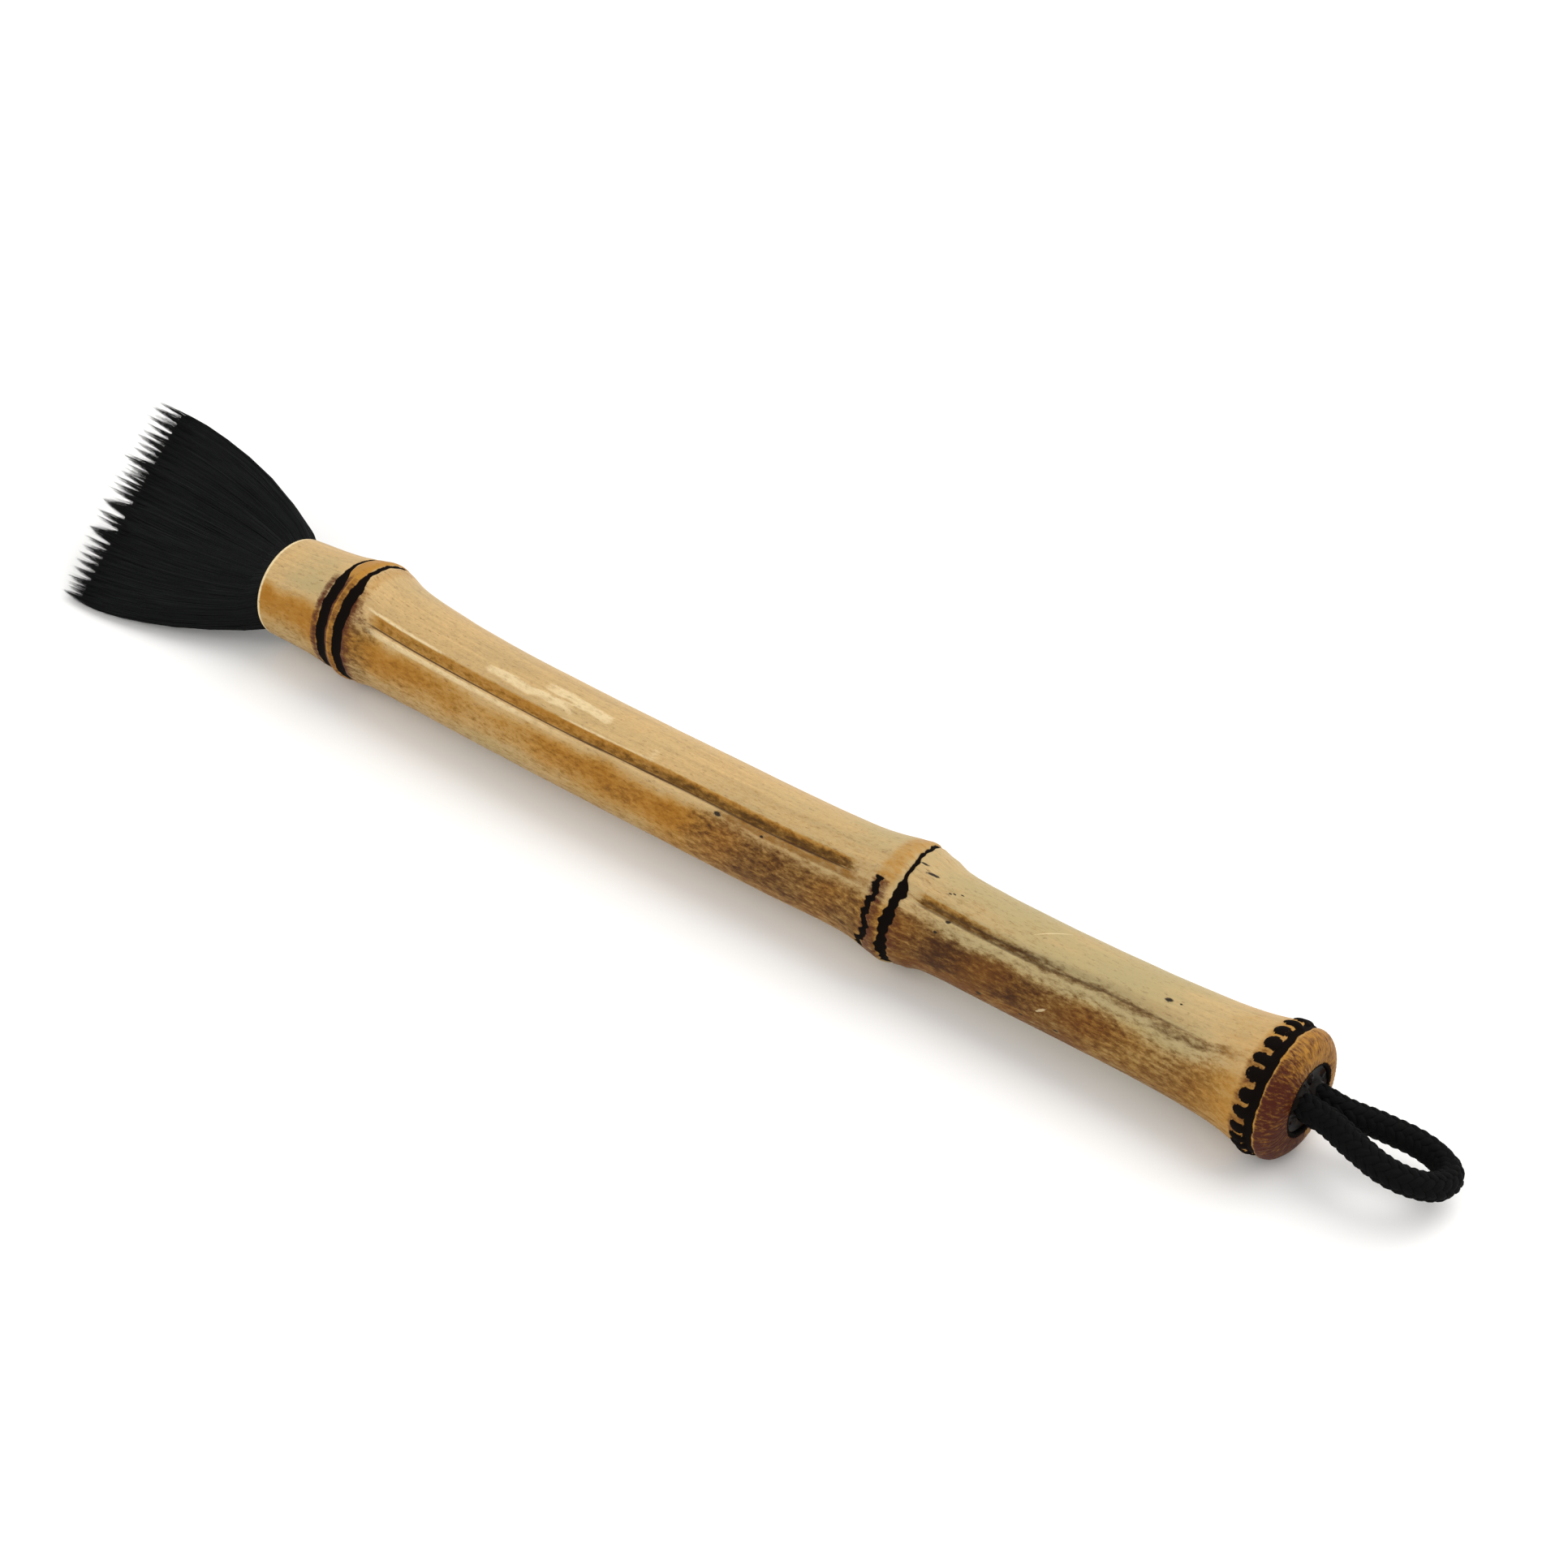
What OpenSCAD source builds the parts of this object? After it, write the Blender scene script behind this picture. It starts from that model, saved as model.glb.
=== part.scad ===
// Flat horse-hair calligraphy brush on a bamboo root-end handle, lying on a table.
// Handle along +X towards the butt, table at z = 0, the socket centred on y = 0.

/* [Bamboo handle] */
// Length of the handle from the socket rim to the butt face
culm_len = 184.9; // [184.5:0.1:185.5]
// Radius of the culm between its first two nodes
waist_r = 7.65; // [7.6:0.05:7.7]
// How much slimmer it is between its second node and its root ring
taper = 0.5; // [0.2:0.1:0.6]
// Extra radius where the culm swells at its first node
node1_swell = 1.9; // [1.8:0.05:1.95]
// Extra radius where the culm swells at its second node
node2_swell = 1.25; // [1:0.05:1.4]
// Extra radius where the culm swells at its root ring
root_swell = 2.1; // [2:0.05:2.15]
// How far the culm is cranked sideways at its first node
crank = 3.05; // [2.6:0.05:3.2]
// Depth of the long groove in each internode
groove_depth = 0.55; // [0.2:0.05:0.8]

/* [Hair socket] */
// Radius of the bore that holds the hair roots
socket_r = 7.4; // [7.2:0.1:7.4]
// Depth of that bore
socket_depth = 12.6; // [12.4:0.1:13]

/* [Hair tuft] */
// Free length of the hair along its middle
tuft_len = 42.4; // [38:0.2:43]
// Half of the tuft's width where it leaves the socket
mouth_half_w = 8.2; // [7.8:0.1:8.2]
// Half of the tuft's width at its tips
tip_half_w = 18.4; // [16:0.2:18.4]
// Half of the tuft's thickness at its tips
tip_half_t = 0.9; // [0.7:0.1:1.2]
// Roll of the flat tuft about the handle
tuft_roll = 29.4; // [26:0.2:29.4]
// How many millimetres the tip edge runs on for each millimetre of width
tip_slant = 0.236; // [0:0.02:0.24]

/* [Hanging loop] */
// Diameter of the braided cord
cord_d = 4; // [3.4:0.1:4]
// Radius of the pith hole in the butt
pith_hole_r = 4.7; // [4.5:0.1:4.8]

/* [Hidden] */
$fn = 48;

// Where the parts stand: the rim's place puts the origin under the middle of the brush
rim_x = -69.1;
rim_z = 9.6;
axis_drop = 0.0018;
rear_y = -2.1;

// Places along the culm, counted from the rim
node1_x = 16.5;
node2_x = 121;
root_x = 181.5;
scar_rings = [13.9, 17.4, 122.8, 181.5];
scar_depth = 0.3;
scar_half_w = 0.45;

// The long groove: its angle from straight up, its half width and its two stretches
groove_angle = 41;
groove_half_angle = 7;
groove_runs = [[19, 117], [124.5, 176]];

// Skin resolution
culm_sides = 36;
culm_stations = [0, 3, 6.5, 10, 12.2, 13.4, 13.9, 14.4, 15.4, 16.5, 16.9, 17.4, 17.9, 19, 20.5, 22.5,
                 25, 30, 36, 44, 56, 70, 84, 98, 108, 114, 117.5, 120, 121.5, 122.3, 122.8, 123.3,
                 124.4, 126.5, 129, 133, 140, 150, 160, 167, 172, 176, 179, 181, 181.5, 182];
dome_start = 182;
dome_steps = 6;
butt_face_r = 5.7;

// Pith cavities inside the internodes
pith_r = 3.2;
pith1_run = [27, 116];
pith2_start = 129;
pith2_y = -2;
pith2_z = 9.3;

// Hair bundle inside the socket
root_r = 6.4;
root_run = [0.4, 11];
seal_run = [11.05, 12.3];
thread_d = 0.6;
thread_turns = 6;
thread_start = 4;
fit_gap = 0.02;

// Hanging loop: the middle of the pith hole where the cord leaves the butt, and its resin
exit_y = -1.7;
exit_z = 9.6;
strand_offset = 2.05;
loop_roll = 18;
resin_run = [171, 183.8];
tail_run = [171.4, 183.6];

// The cord's route, from its near strand at the butt round to its far strand
loop_route = [
    [115.8, -3.65, 10.2], [117.8, -3.75, 10.0], [119.8, -3.7, 9.7], [121.8, -4.3, 9.6],
    [123.8, -4.9, 9.4], [125.8, -5.3, 9.1], [127.8, -5.6, 8.7], [129.8, -5.5, 8.2],
    [131.8, -4.8, 7.5], [133.6, -3.4, 6.6], [134.7, -1.6, 5.7], [135.0, 0.3, 5.0],
    [134.7, 2.1, 4.5], [133.6, 3.5, 4.3], [131.8, 4.3, 4.5], [129.8, 4.4, 5.0],
    [127.8, 4.0, 5.6], [125.8, 3.2, 6.3], [123.8, 2.4, 7.0], [121.8, 1.4, 7.7],
    [119.8, 0.5, 8.4], [117.8, 0.3, 8.8], [115.8, 0.25, 9.0]];
cord_sides = 8;

// ---- shared helpers ----

// A closed skin through rings of points that run towards +X
module skin(rings) {
    sides = len(rings[0]);
    last = len(rings) - 1;
    walls = [for (i = [0:last - 1], j = [0:sides - 1])
        let (k = (j + 1) % sides, a = i * sides + j, b = i * sides + k)
            each [[a, b + sides, b], [a, a + sides, b + sides]]];
    start_cap = [[for (j = [0:sides - 1]) j]];
    end_cap = [[for (j = [sides - 1:-1:0]) last * sides + j]];
    polyhedron(points = [for (ring = rings) each ring],
               faces = concat(walls, start_cap, end_cap));
}

// A rounded swelling of the culm, with its own spread on each side
function swell(x, centre, height, front, back) =
    height * exp(-pow((x - centre) / (x < centre ? front : back), 2));

// Centre line of the culm across the table, which turns a little at each node
function culm_y(x) = x < node1_x
    ? 0.055 * x
    : rear_y + crank * exp(-(x - node1_x) / 18.5)
        + 0.45 * exp(-pow((x - node2_x + 4) / 13, 2)) + 0.4 * exp(-pow((x - root_x - 4.5) / 20, 2));

// Height of the centre line, which sinks a little towards the slimmer butt
function culm_z(x) = rim_z - axis_drop * x;

// Groove depth at a place along and around the culm
function groove(x, angle) =
    let (runs = [for (run = groove_runs) if (x > run[0] && x < run[1]) 1])
    len(runs) == 0 ? 0 : groove_depth * exp(-pow((angle - groove_angle) / groove_half_angle, 2));

function in_scar(x) = len([for (s = scar_rings) if (abs(x - s) < scar_half_w) 1]) > 0;

// Radius of the culm before its groove and scars; each node is a broad swelling with a narrow one
function culm_r(x) = waist_r - taper / (1 + exp(-(x - node2_x - 6) / 3))
    + swell(x, node1_x, 0.45 * node1_swell, 20, 17)
    + swell(x, node1_x, 0.55 * node1_swell, 5, 4)
    + swell(x, node2_x, node2_swell, 5, 3.8)
    + swell(x, root_x, 0.4 * root_swell, 16, 16)
    + swell(x, root_x, 0.6 * root_swell, 5.5, 5.5);

// One ring of the culm's skin; angles run from straight up towards -Y
function culm_ring(x, r) = [for (i = [0:culm_sides - 1])
    let (angle = groove_angle + 360 * i / culm_sides,
         turned = ((angle + 180) % 360 + 360) % 360 - 180,
         rr = r - groove(x, turned) - (in_scar(x) ? scar_depth : 0))
        [x + rim_x, culm_y(x) - rr * sin(angle), culm_z(x) + rr * cos(angle)]];

// A ring on the domed root end, from the root ring in to the butt face
function dome_ring(k) =
    let (turn = 90 * k / dome_steps,
         x = dome_start + (culm_len - dome_start) * sin(turn),
         start_r = culm_r(dome_start) - 0.1)
        culm_ring(x, butt_face_r + (start_r - butt_face_r) * cos(turn));

// A solid of revolution about a line along +X at a given height and side
module along_x(y, z) {
    translate([rim_x, y, z]) rotate([0, 90, 0]) children();
}

// ---- the tuft's shape ----

layer_steps = 12;
core_share = 0.42;
layer_gap = 0.05;
edge_t = 0.55;
tuft_stations = concat([for (share = [1, 0.91, 0.79, 0.64, 0.5, 0.36]) share * tuft_len],
                       [10, 6, 3.6, 2.4, 1.6]);

// Half width of the fan at a distance from the rim
function fan_half_w(s) = mouth_half_w
    + (tip_half_w - mouth_half_w) * (1 - pow(1 - min(s, 45.9) / 46, 2.3));

// Half thickness of the fan; the first few millimetres are slim so that it can flex
function fan_half_t(s) = s < 2 ? 2.4 : s < 3 ? 3.5
    : tip_half_t + 3.2 * exp(-s / 17) + 0.9 * (1 - s / tuft_len);

// Half thickness at a place across the width
function fan_surface(s, v) = let (b = fan_half_w(s), share = min(1, abs(v) / b))
    edge_t + (fan_half_t(s) - edge_t) * pow(1 - pow(share, 2.5), 0.4);

// A point of the fan, rolled about the handle and set at the socket's mouth
function fan_point(s, v, t) =
    [rim_x - s - tip_slant * v * pow(s / tuft_len, 2),
     v * cos(tuft_roll) - t * sin(tuft_roll),
     rim_z + v * sin(tuft_roll) + t * cos(tuft_roll)];

// A ring between two fractions of the fan's thickness, low to high, over a share of its width
function layer_ring(s, low, low_gap, high, high_gap, width_share) =
    let (b = fan_half_w(s) * width_share * (s < 2 ? 0.85 : 1))
    concat(
        [for (i = [layer_steps:-1:-layer_steps]) let (v = b * i / layer_steps)
            fan_point(s, v, high * fan_surface(s, v) + high_gap)],
        [for (i = [-layer_steps:layer_steps]) let (v = b * i / layer_steps)
            fan_point(s, v, low * fan_surface(s, v) + low_gap)]);

module fan_layer(low, low_gap, high, high_gap, width_share) {
    skin([for (s = tuft_stations) layer_ring(s, low, low_gap, high, high_gap, width_share)]);
}

// ---- the pieces ----

// One piece of bamboo: socket bore in front, pith hole in the butt, two pith cavities
module bamboo_culm() {
    color("burlywood") difference() {
        skin(concat([for (x = culm_stations) culm_ring(x, culm_r(x))],
                    [for (k = [1:dome_steps]) dome_ring(k)]));
        along_x(0, rim_z) translate([0, 0, -1]) cylinder(r = socket_r, h = socket_depth + 1);
        pith_cavity(pith1_run[0], culm_y(pith1_run[0]), pith1_run[1], culm_y(pith1_run[1]));
        along_x(pith2_y, pith2_z) translate([0, 0, pith2_start])
            cylinder(r = pith_r, h = resin_run[0] - pith2_start + 1);
        along_x(exit_y, exit_z) translate([0, 0, resin_run[0]])
            cylinder(r = pith_hole_r, h = culm_len - resin_run[0] + 1);
    }
}

// A round level cavity between two places along the culm
module pith_cavity(x1, y1, x2, y2) {
    translate([rim_x + x1, y1, culm_z(70)])
        rotate([0, 90, atan2(y2 - y1, x2 - x1)])
            cylinder(r = pith_r, h = norm([x2 - x1, y2 - y1]));
}

module hair_core() {
    color([0.07, 0.07, 0.07]) fan_layer(-core_share, 0, core_share, 0, 0.94);
}

module mantle_hair_front() {
    color([0.1, 0.1, 0.1]) fan_layer(core_share, layer_gap, 1, 0, 1);
}

module mantle_hair_back() {
    color([0.1, 0.1, 0.1]) fan_layer(-1, 0, -core_share, -layer_gap, 1);
}

// The gathered, glued roots of all the hair
module hair_root() {
    color([0.05, 0.05, 0.05]) along_x(0, rim_z) translate([0, 0, root_run[0]])
        cylinder(r = root_r, h = root_run[1] - root_run[0]);
}

// Thread wound round the roots, one closed turn beside the next
module root_binding_thread() {
    color("ivory") along_x(0, rim_z)
        for (i = [0:thread_turns - 1]) translate([0, 0, thread_start + i * (thread_d + fit_gap)])
            rotate_extrude($fn = 32) translate([root_r + thread_d / 2 + fit_gap, 0])
                circle(d = thread_d, $fn = 16);
}

// Rosin burnt on to the cut ends of the roots
module rosin_seal() {
    color("saddlebrown") along_x(0, rim_z) translate([0, 0, seal_run[0]])
        cylinder(r = socket_r - 0.2, h = seal_run[1] - seal_run[0]);
}

// Glue that fills the bore round the roots, with room for the thread
module socket_glue() {
    inner_r = root_r + fit_gap;
    outer_r = socket_r - fit_gap;
    pocket_r = root_r + thread_d + 3 * fit_gap;
    pocket_end = thread_start + thread_turns * (thread_d + fit_gap);
    color("goldenrod") along_x(0, rim_z) rotate_extrude($fn = 64) polygon([
        [inner_r, root_run[0] + 0.4], [outer_r, root_run[0] + 0.4],
        [outer_r, root_run[1]], [inner_r, root_run[1]],
        [inner_r, pocket_end], [pocket_r, pocket_end],
        [pocket_r, thread_start - thread_d], [inner_r, thread_start - thread_d]]);
}

// The two strands side by side where the cord leaves the butt
module strand_places(y, z) {
    for (side = [-1, 1])
        translate([0, y + side * strand_offset * cos(loop_roll),
                   z - side * strand_offset * sin(loop_roll)]) children();
}

// Dark resin that fills the pith hole round the cord
module butt_resin() {
    color([0.12, 0.08, 0.06]) difference() {
        along_x(exit_y, exit_z) translate([0, 0, resin_run[0] + 0.1])
            cylinder(r = pith_hole_r - fit_gap, h = resin_run[1] - resin_run[0] - 0.1);
        strand_places(exit_y, exit_z)
            translate([rim_x + tail_run[0] - 0.02, 0, 0]) rotate([0, 90, 0])
                cylinder(d = cord_d + 2 * fit_gap, h = 20);
    }
}

// The cord's two ends, set in the resin
module cord_tails() {
    color([0.08, 0.08, 0.08]) strand_places(exit_y, exit_z)
        translate([rim_x + tail_run[0], 0, 0]) rotate([0, 90, 0])
            cylinder(d = cord_d, h = tail_run[1] - tail_run[0]);
}

// Direction of the route at one of its points
function route_way(i) = let (p = loop_route, n = len(p) - 1)
    i == 0 || i == n ? [i == 0 ? 1 : -1, 0, 0] : p[i + 1] - p[i - 1];

// One ring of the cord square to its route
function cord_ring(i) =
    let (way = route_way(i) / norm(route_way(i)),
         up = [0, sin(loop_roll), cos(loop_roll)],
         side = cross(way, up) / norm(cross(way, up)),
         lift = cross(side, way))
        [for (k = [0:cord_sides - 1]) let (a = 360 * k / cord_sides)
            loop_route[i] + cord_d / 2 * (cos(a) * lift + sin(a) * side)];

// The free part of the cord, bent into a drooping loop
module hanging_loop() {
    color([0.08, 0.08, 0.08]) skin([for (i = [0:len(loop_route) - 1]) cord_ring(i)]);
}

bamboo_culm();
hair_core();
mantle_hair_front();
mantle_hair_back();
hair_root();
root_binding_thread();
rosin_seal();
socket_glue();
butt_resin();
cord_tails();
hanging_loop();
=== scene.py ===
"""Flat calligraphy brush: black hair in a bamboo root-end handle, with a braided hanging loop.

Laid out as an add-on. Property groups hold the sizes and colours, each operator makes one piece or
a group of like pieces, and main() runs them in order. The shaping functions count millimetres:
x from the socket rim towards the butt, and angles round the culm from straight up towards -Y.
"""
import math

import bpy
import numpy as np
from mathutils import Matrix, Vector


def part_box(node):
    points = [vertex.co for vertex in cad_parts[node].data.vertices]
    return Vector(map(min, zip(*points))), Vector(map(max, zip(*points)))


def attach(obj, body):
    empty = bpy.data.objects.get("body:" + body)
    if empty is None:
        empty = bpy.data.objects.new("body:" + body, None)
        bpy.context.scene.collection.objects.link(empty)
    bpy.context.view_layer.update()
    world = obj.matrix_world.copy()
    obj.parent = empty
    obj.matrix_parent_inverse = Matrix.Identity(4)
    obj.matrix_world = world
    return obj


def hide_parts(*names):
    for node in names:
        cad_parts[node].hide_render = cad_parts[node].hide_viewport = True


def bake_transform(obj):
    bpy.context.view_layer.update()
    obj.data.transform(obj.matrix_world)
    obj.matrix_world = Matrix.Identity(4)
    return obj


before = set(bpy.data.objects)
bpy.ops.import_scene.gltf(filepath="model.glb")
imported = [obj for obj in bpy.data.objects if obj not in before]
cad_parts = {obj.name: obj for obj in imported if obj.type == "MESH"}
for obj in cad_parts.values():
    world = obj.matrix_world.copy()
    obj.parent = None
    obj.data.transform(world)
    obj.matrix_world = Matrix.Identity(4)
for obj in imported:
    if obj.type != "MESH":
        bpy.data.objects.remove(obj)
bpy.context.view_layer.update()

bl_info = {
    "name": "Calligraphy Brush",
    "version": (1, 0, 0),
    "blender": (4, 5, 0),
    "location": "3D View > Sidebar > Brush",
    "description": "Builds a flat hair brush with a bamboo handle and a hanging loop",
    "category": "Add Mesh",
}

MM = 0.001

# ---- where the parts stand, in millimetres ----

CULM_LOW, CULM_HIGH = (np.array(corner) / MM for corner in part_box("bamboo_culm"))
RIM_X = CULM_LOW[0]  # the socket rim
CULM_LEN = CULM_HIGH[0] - CULM_LOW[0]
RIM_Z, AXIS_DROP = 9.6, 0.0018  # height of the centre line at the rim, and its fall for each mm
REAR_Y, CRANK = -2.1, 3.05  # side place behind the first node, and how far the node is set over
NODE_1, NODE_2, ROOT = 16.5, 121.0, 181.5
WAIST_R, TAPER = 7.65, 0.5  # radius between the nodes, and how much less it is past the second
SWELLINGS = (  # centre, height, then reach towards the rim and towards the butt
    (NODE_1, 0.85, 20, 17), (NODE_1, 1.05, 5, 4), (NODE_2, 1.25, 5, 3.8),
    (ROOT, 0.84, 16, 16), (ROOT, 1.26, 5.5, 5.5))
DOME_START, DOME_SPAN, DOME_RINGS, BUTT_FACE_R = 182.0, 5.2, 8, 5.7
HOLE_SIDE = 189  # past this, angles are counted round the hole's middle
ROOT_SKIN_R = 9.2  # radius of the skin at the root scars
SOCKET_R, SOCKET_DEPTH = 7.4, 12.6
HOLE_Y, HOLE_Z, HOLE_R, HOLE_DEPTH = -1.7, 9.6, 4.7, 13.9
RESIN_X, RESIN_END_X = 183.8, 171.3  # the resin's face, and how far in it goes
TUFT_LEN, TUFT_ROLL, TIP_SLANT = 42.4, math.radians(29.4), 0.236
LOOP_ROLL = math.radians(18)
STRAND_OFFSET = 2.05  # from the hole's middle to each strand of the cord
NEAR_SIDE = (14, 135, 12)  # degrees round the culm where the burnt rings are widest, soft edge last
SECOND_RING = (  # where the second node's ring runs: degrees round the culm, mm along it
    (-180, 122.0), (-90, 121.0), (-50, 121.5), (-20, 122.2), (0, 122.6), (20, 122.9), (40, 123.4),
    (60, 123.0), (80, 122.7), (100, 122.4), (180, 122.0))
TABLE_GAP = 0.03  # the least height of any point above the table

# The cord's route in the frame, in millimetres, from its near strand at the butt to its far strand
LOOP_ROUTE = [
    (115.8, -3.65, 10.2), (117.8, -3.75, 10.0), (119.8, -3.7, 9.7), (121.8, -4.3, 9.6),
    (123.8, -4.9, 9.4), (125.8, -5.3, 9.1), (127.8, -5.6, 8.7), (129.8, -5.5, 8.2),
    (131.8, -4.8, 7.5), (133.6, -3.4, 6.6), (134.7, -1.6, 5.7), (135.0, 0.3, 5.0),
    (134.7, 2.1, 4.5), (133.6, 3.5, 4.3), (131.8, 4.3, 4.5), (129.8, 4.4, 5.0),
    (127.8, 4.0, 5.6), (125.8, 3.2, 6.3), (123.8, 2.4, 7.0), (121.8, 1.4, 7.7),
    (119.8, 0.5, 8.4), (117.8, 0.3, 8.8), (115.8, 0.25, 9.0)]


# ---- small helpers ----

def srgb(code):
    """A linear colour with full opacity from an sRGB hex value."""
    parts = [int(code[i:i + 2], 16) / 255 for i in (1, 3, 5)]
    return tuple(c / 12.92 if c <= 0.04045 else ((c + 0.055) / 1.055) ** 2.4 for c in parts) + (1.0,)


def add(tree, kind, inputs=None, **settings):
    """Adds a shader node; inputs maps a socket's name or number to a value or the output it reads."""
    new = tree.nodes.new("ShaderNode" + kind)
    for key, value in settings.items():
        setattr(new, key, value)
    for key, value in (inputs or {}).items():
        if isinstance(value, bpy.types.NodeSocket):
            tree.links.new(value, new.inputs[key])
        else:
            new.inputs[key].default_value = value
    return new


def fresh_material(name):
    """An empty node material and its tree."""
    made = bpy.data.materials.new(name)
    made.use_nodes = True
    made.node_tree.nodes.clear()
    return made, made.node_tree


def surfaced(made, surface):
    """The material with its surface node joined to its output."""
    made.node_tree.links.new(surface.outputs[0], add(made.node_tree, "OutputMaterial").inputs[0])
    return made


def smooth(low, high, x):
    """0 below low, 1 above high and an even S between them."""
    t = np.clip((np.asarray(x, float) - low) / (high - low), 0, 1)
    return t * t * (3 - 2 * t)


def hump(x, centre, half):
    """A round hill of height 1."""
    return np.exp(-((np.asarray(x, float) - centre) / half) ** 2)


def band(x, low, high, soft):
    """1 between low and high, with soft edges."""
    return smooth(low - soft, low + soft, x) * (1 - smooth(high - soft, high + soft, x))


def points_of(obj):
    """The mesh's points in millimetres."""
    flat = np.empty(len(obj.data.vertices) * 3, np.float32)
    obj.data.vertices.foreach_get("co", flat)
    return flat.reshape(-1, 3).astype(float) / MM


def place_points(obj, points):
    """Moves the mesh's points to places given in millimetres."""
    obj.data.vertices.foreach_set("co", (points * MM).astype(np.float32).ravel())
    obj.data.update()


def keep(obj, name, values):
    """Stores one number, or one vector, for each point of the mesh."""
    kind = "FLOAT" if values.ndim == 1 else "FLOAT_VECTOR"
    layer = obj.data.attributes.new(name, kind, "POINT")
    slot = "value" if values.ndim == 1 else "vector"
    layer.data.foreach_set(slot, values.astype(np.float32).ravel())


def read(obj, name):
    """The numbers stored for each point of the mesh."""
    values = np.empty(len(obj.data.vertices), np.float32)
    obj.data.attributes[name].data.foreach_get("value", values)
    return values.astype(float)


def extruded(name, sides, rings):
    """A tube along +X, extruded ring by ring from a circle. rings: (x, y, z, radius) in mm."""
    bpy.ops.object.select_all(action="DESELECT")
    x, y, z, r = rings[0]
    bpy.ops.mesh.primitive_circle_add(vertices=sides, radius=r * MM, rotation=(0, math.pi / 2, 0),
                                      location=(x * MM, y * MM, z * MM))
    obj = bpy.context.object
    obj.name = obj.data.name = name
    bpy.ops.object.mode_set(mode="EDIT")
    bpy.ops.mesh.select_all(action="SELECT")
    for old, new in zip(rings, rings[1:]):
        step = [(b - a) * MM for a, b in zip(old[:3], new[:3])]
        bpy.ops.mesh.extrude_region_move(TRANSFORM_OT_translate={"value": step})
        share = new[3] / old[3]
        bpy.ops.transform.resize(value=(share,) * 3, center_override=[c * MM for c in new[:3]])
    bpy.ops.object.mode_set(mode="OBJECT")
    bpy.ops.object.transform_apply(location=True, rotation=True, scale=True)
    return obj


def close_ends(obj, sides):
    """Caps the first and last ring of an extruded tube and turns every face outwards."""
    count = len(obj.data.vertices)
    for first in (0, count - sides):
        bpy.ops.object.mode_set(mode="OBJECT")
        obj.data.vertices.foreach_set("select", [first <= i < first + sides for i in range(count)])
        bpy.ops.object.mode_set(mode="EDIT")
        bpy.ops.mesh.select_mode(type="VERT")
        bpy.ops.mesh.edge_face_add()
        bpy.ops.mesh.select_all(action="DESELECT")
        bpy.ops.object.mode_set(mode="OBJECT")
    face_outwards()


def face_outwards():
    """Turns every face of the active object outwards."""
    bpy.ops.object.mode_set(mode="EDIT")
    bpy.ops.mesh.select_all(action="SELECT")
    bpy.ops.mesh.normals_make_consistent(inside=False)
    bpy.ops.object.mode_set(mode="OBJECT")


def finish_with(obj, kind, **settings):
    """Adds a modifier and applies it."""
    modifier = obj.modifiers.new(kind.title(), kind)
    for key, value in settings.items():
        setattr(modifier, key, value)
    bpy.context.view_layer.objects.active = obj
    bpy.ops.object.modifier_apply(modifier=modifier.name)


def shade_smooth(obj):
    bpy.ops.object.select_all(action="DESELECT")
    obj.select_set(True)
    bpy.context.view_layer.objects.active = obj
    bpy.ops.object.shade_smooth()


# ---- the culm's shape ----

def culm_y(x):
    """Side place of the culm's centre line, which turns a little at each node."""
    x = np.asarray(x, float)
    rear = (REAR_Y + CRANK * np.exp(-(np.maximum(x, NODE_1) - NODE_1) / 18.5)
            + 0.45 * hump(x, NODE_2 - 4, 13) + 0.4 * hump(x, ROOT + 4.5, 20))
    return np.where(x < NODE_1, 0.055 * x, rear)


def culm_z(x):
    """Height of the culm's centre line."""
    return RIM_Z - AXIS_DROP * np.asarray(x, float)


def culm_r(x):
    """Radius of the culm before its fine relief; each node is a broad swelling with a narrow one."""
    total = WAIST_R - TAPER / (1 + np.exp(-(x - NODE_2 - 6) / 3))
    for centre, height, front, back in SWELLINGS:
        total = total + height * np.exp(-((x - centre) / (front if x < centre else back)) ** 2)
    return total


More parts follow.
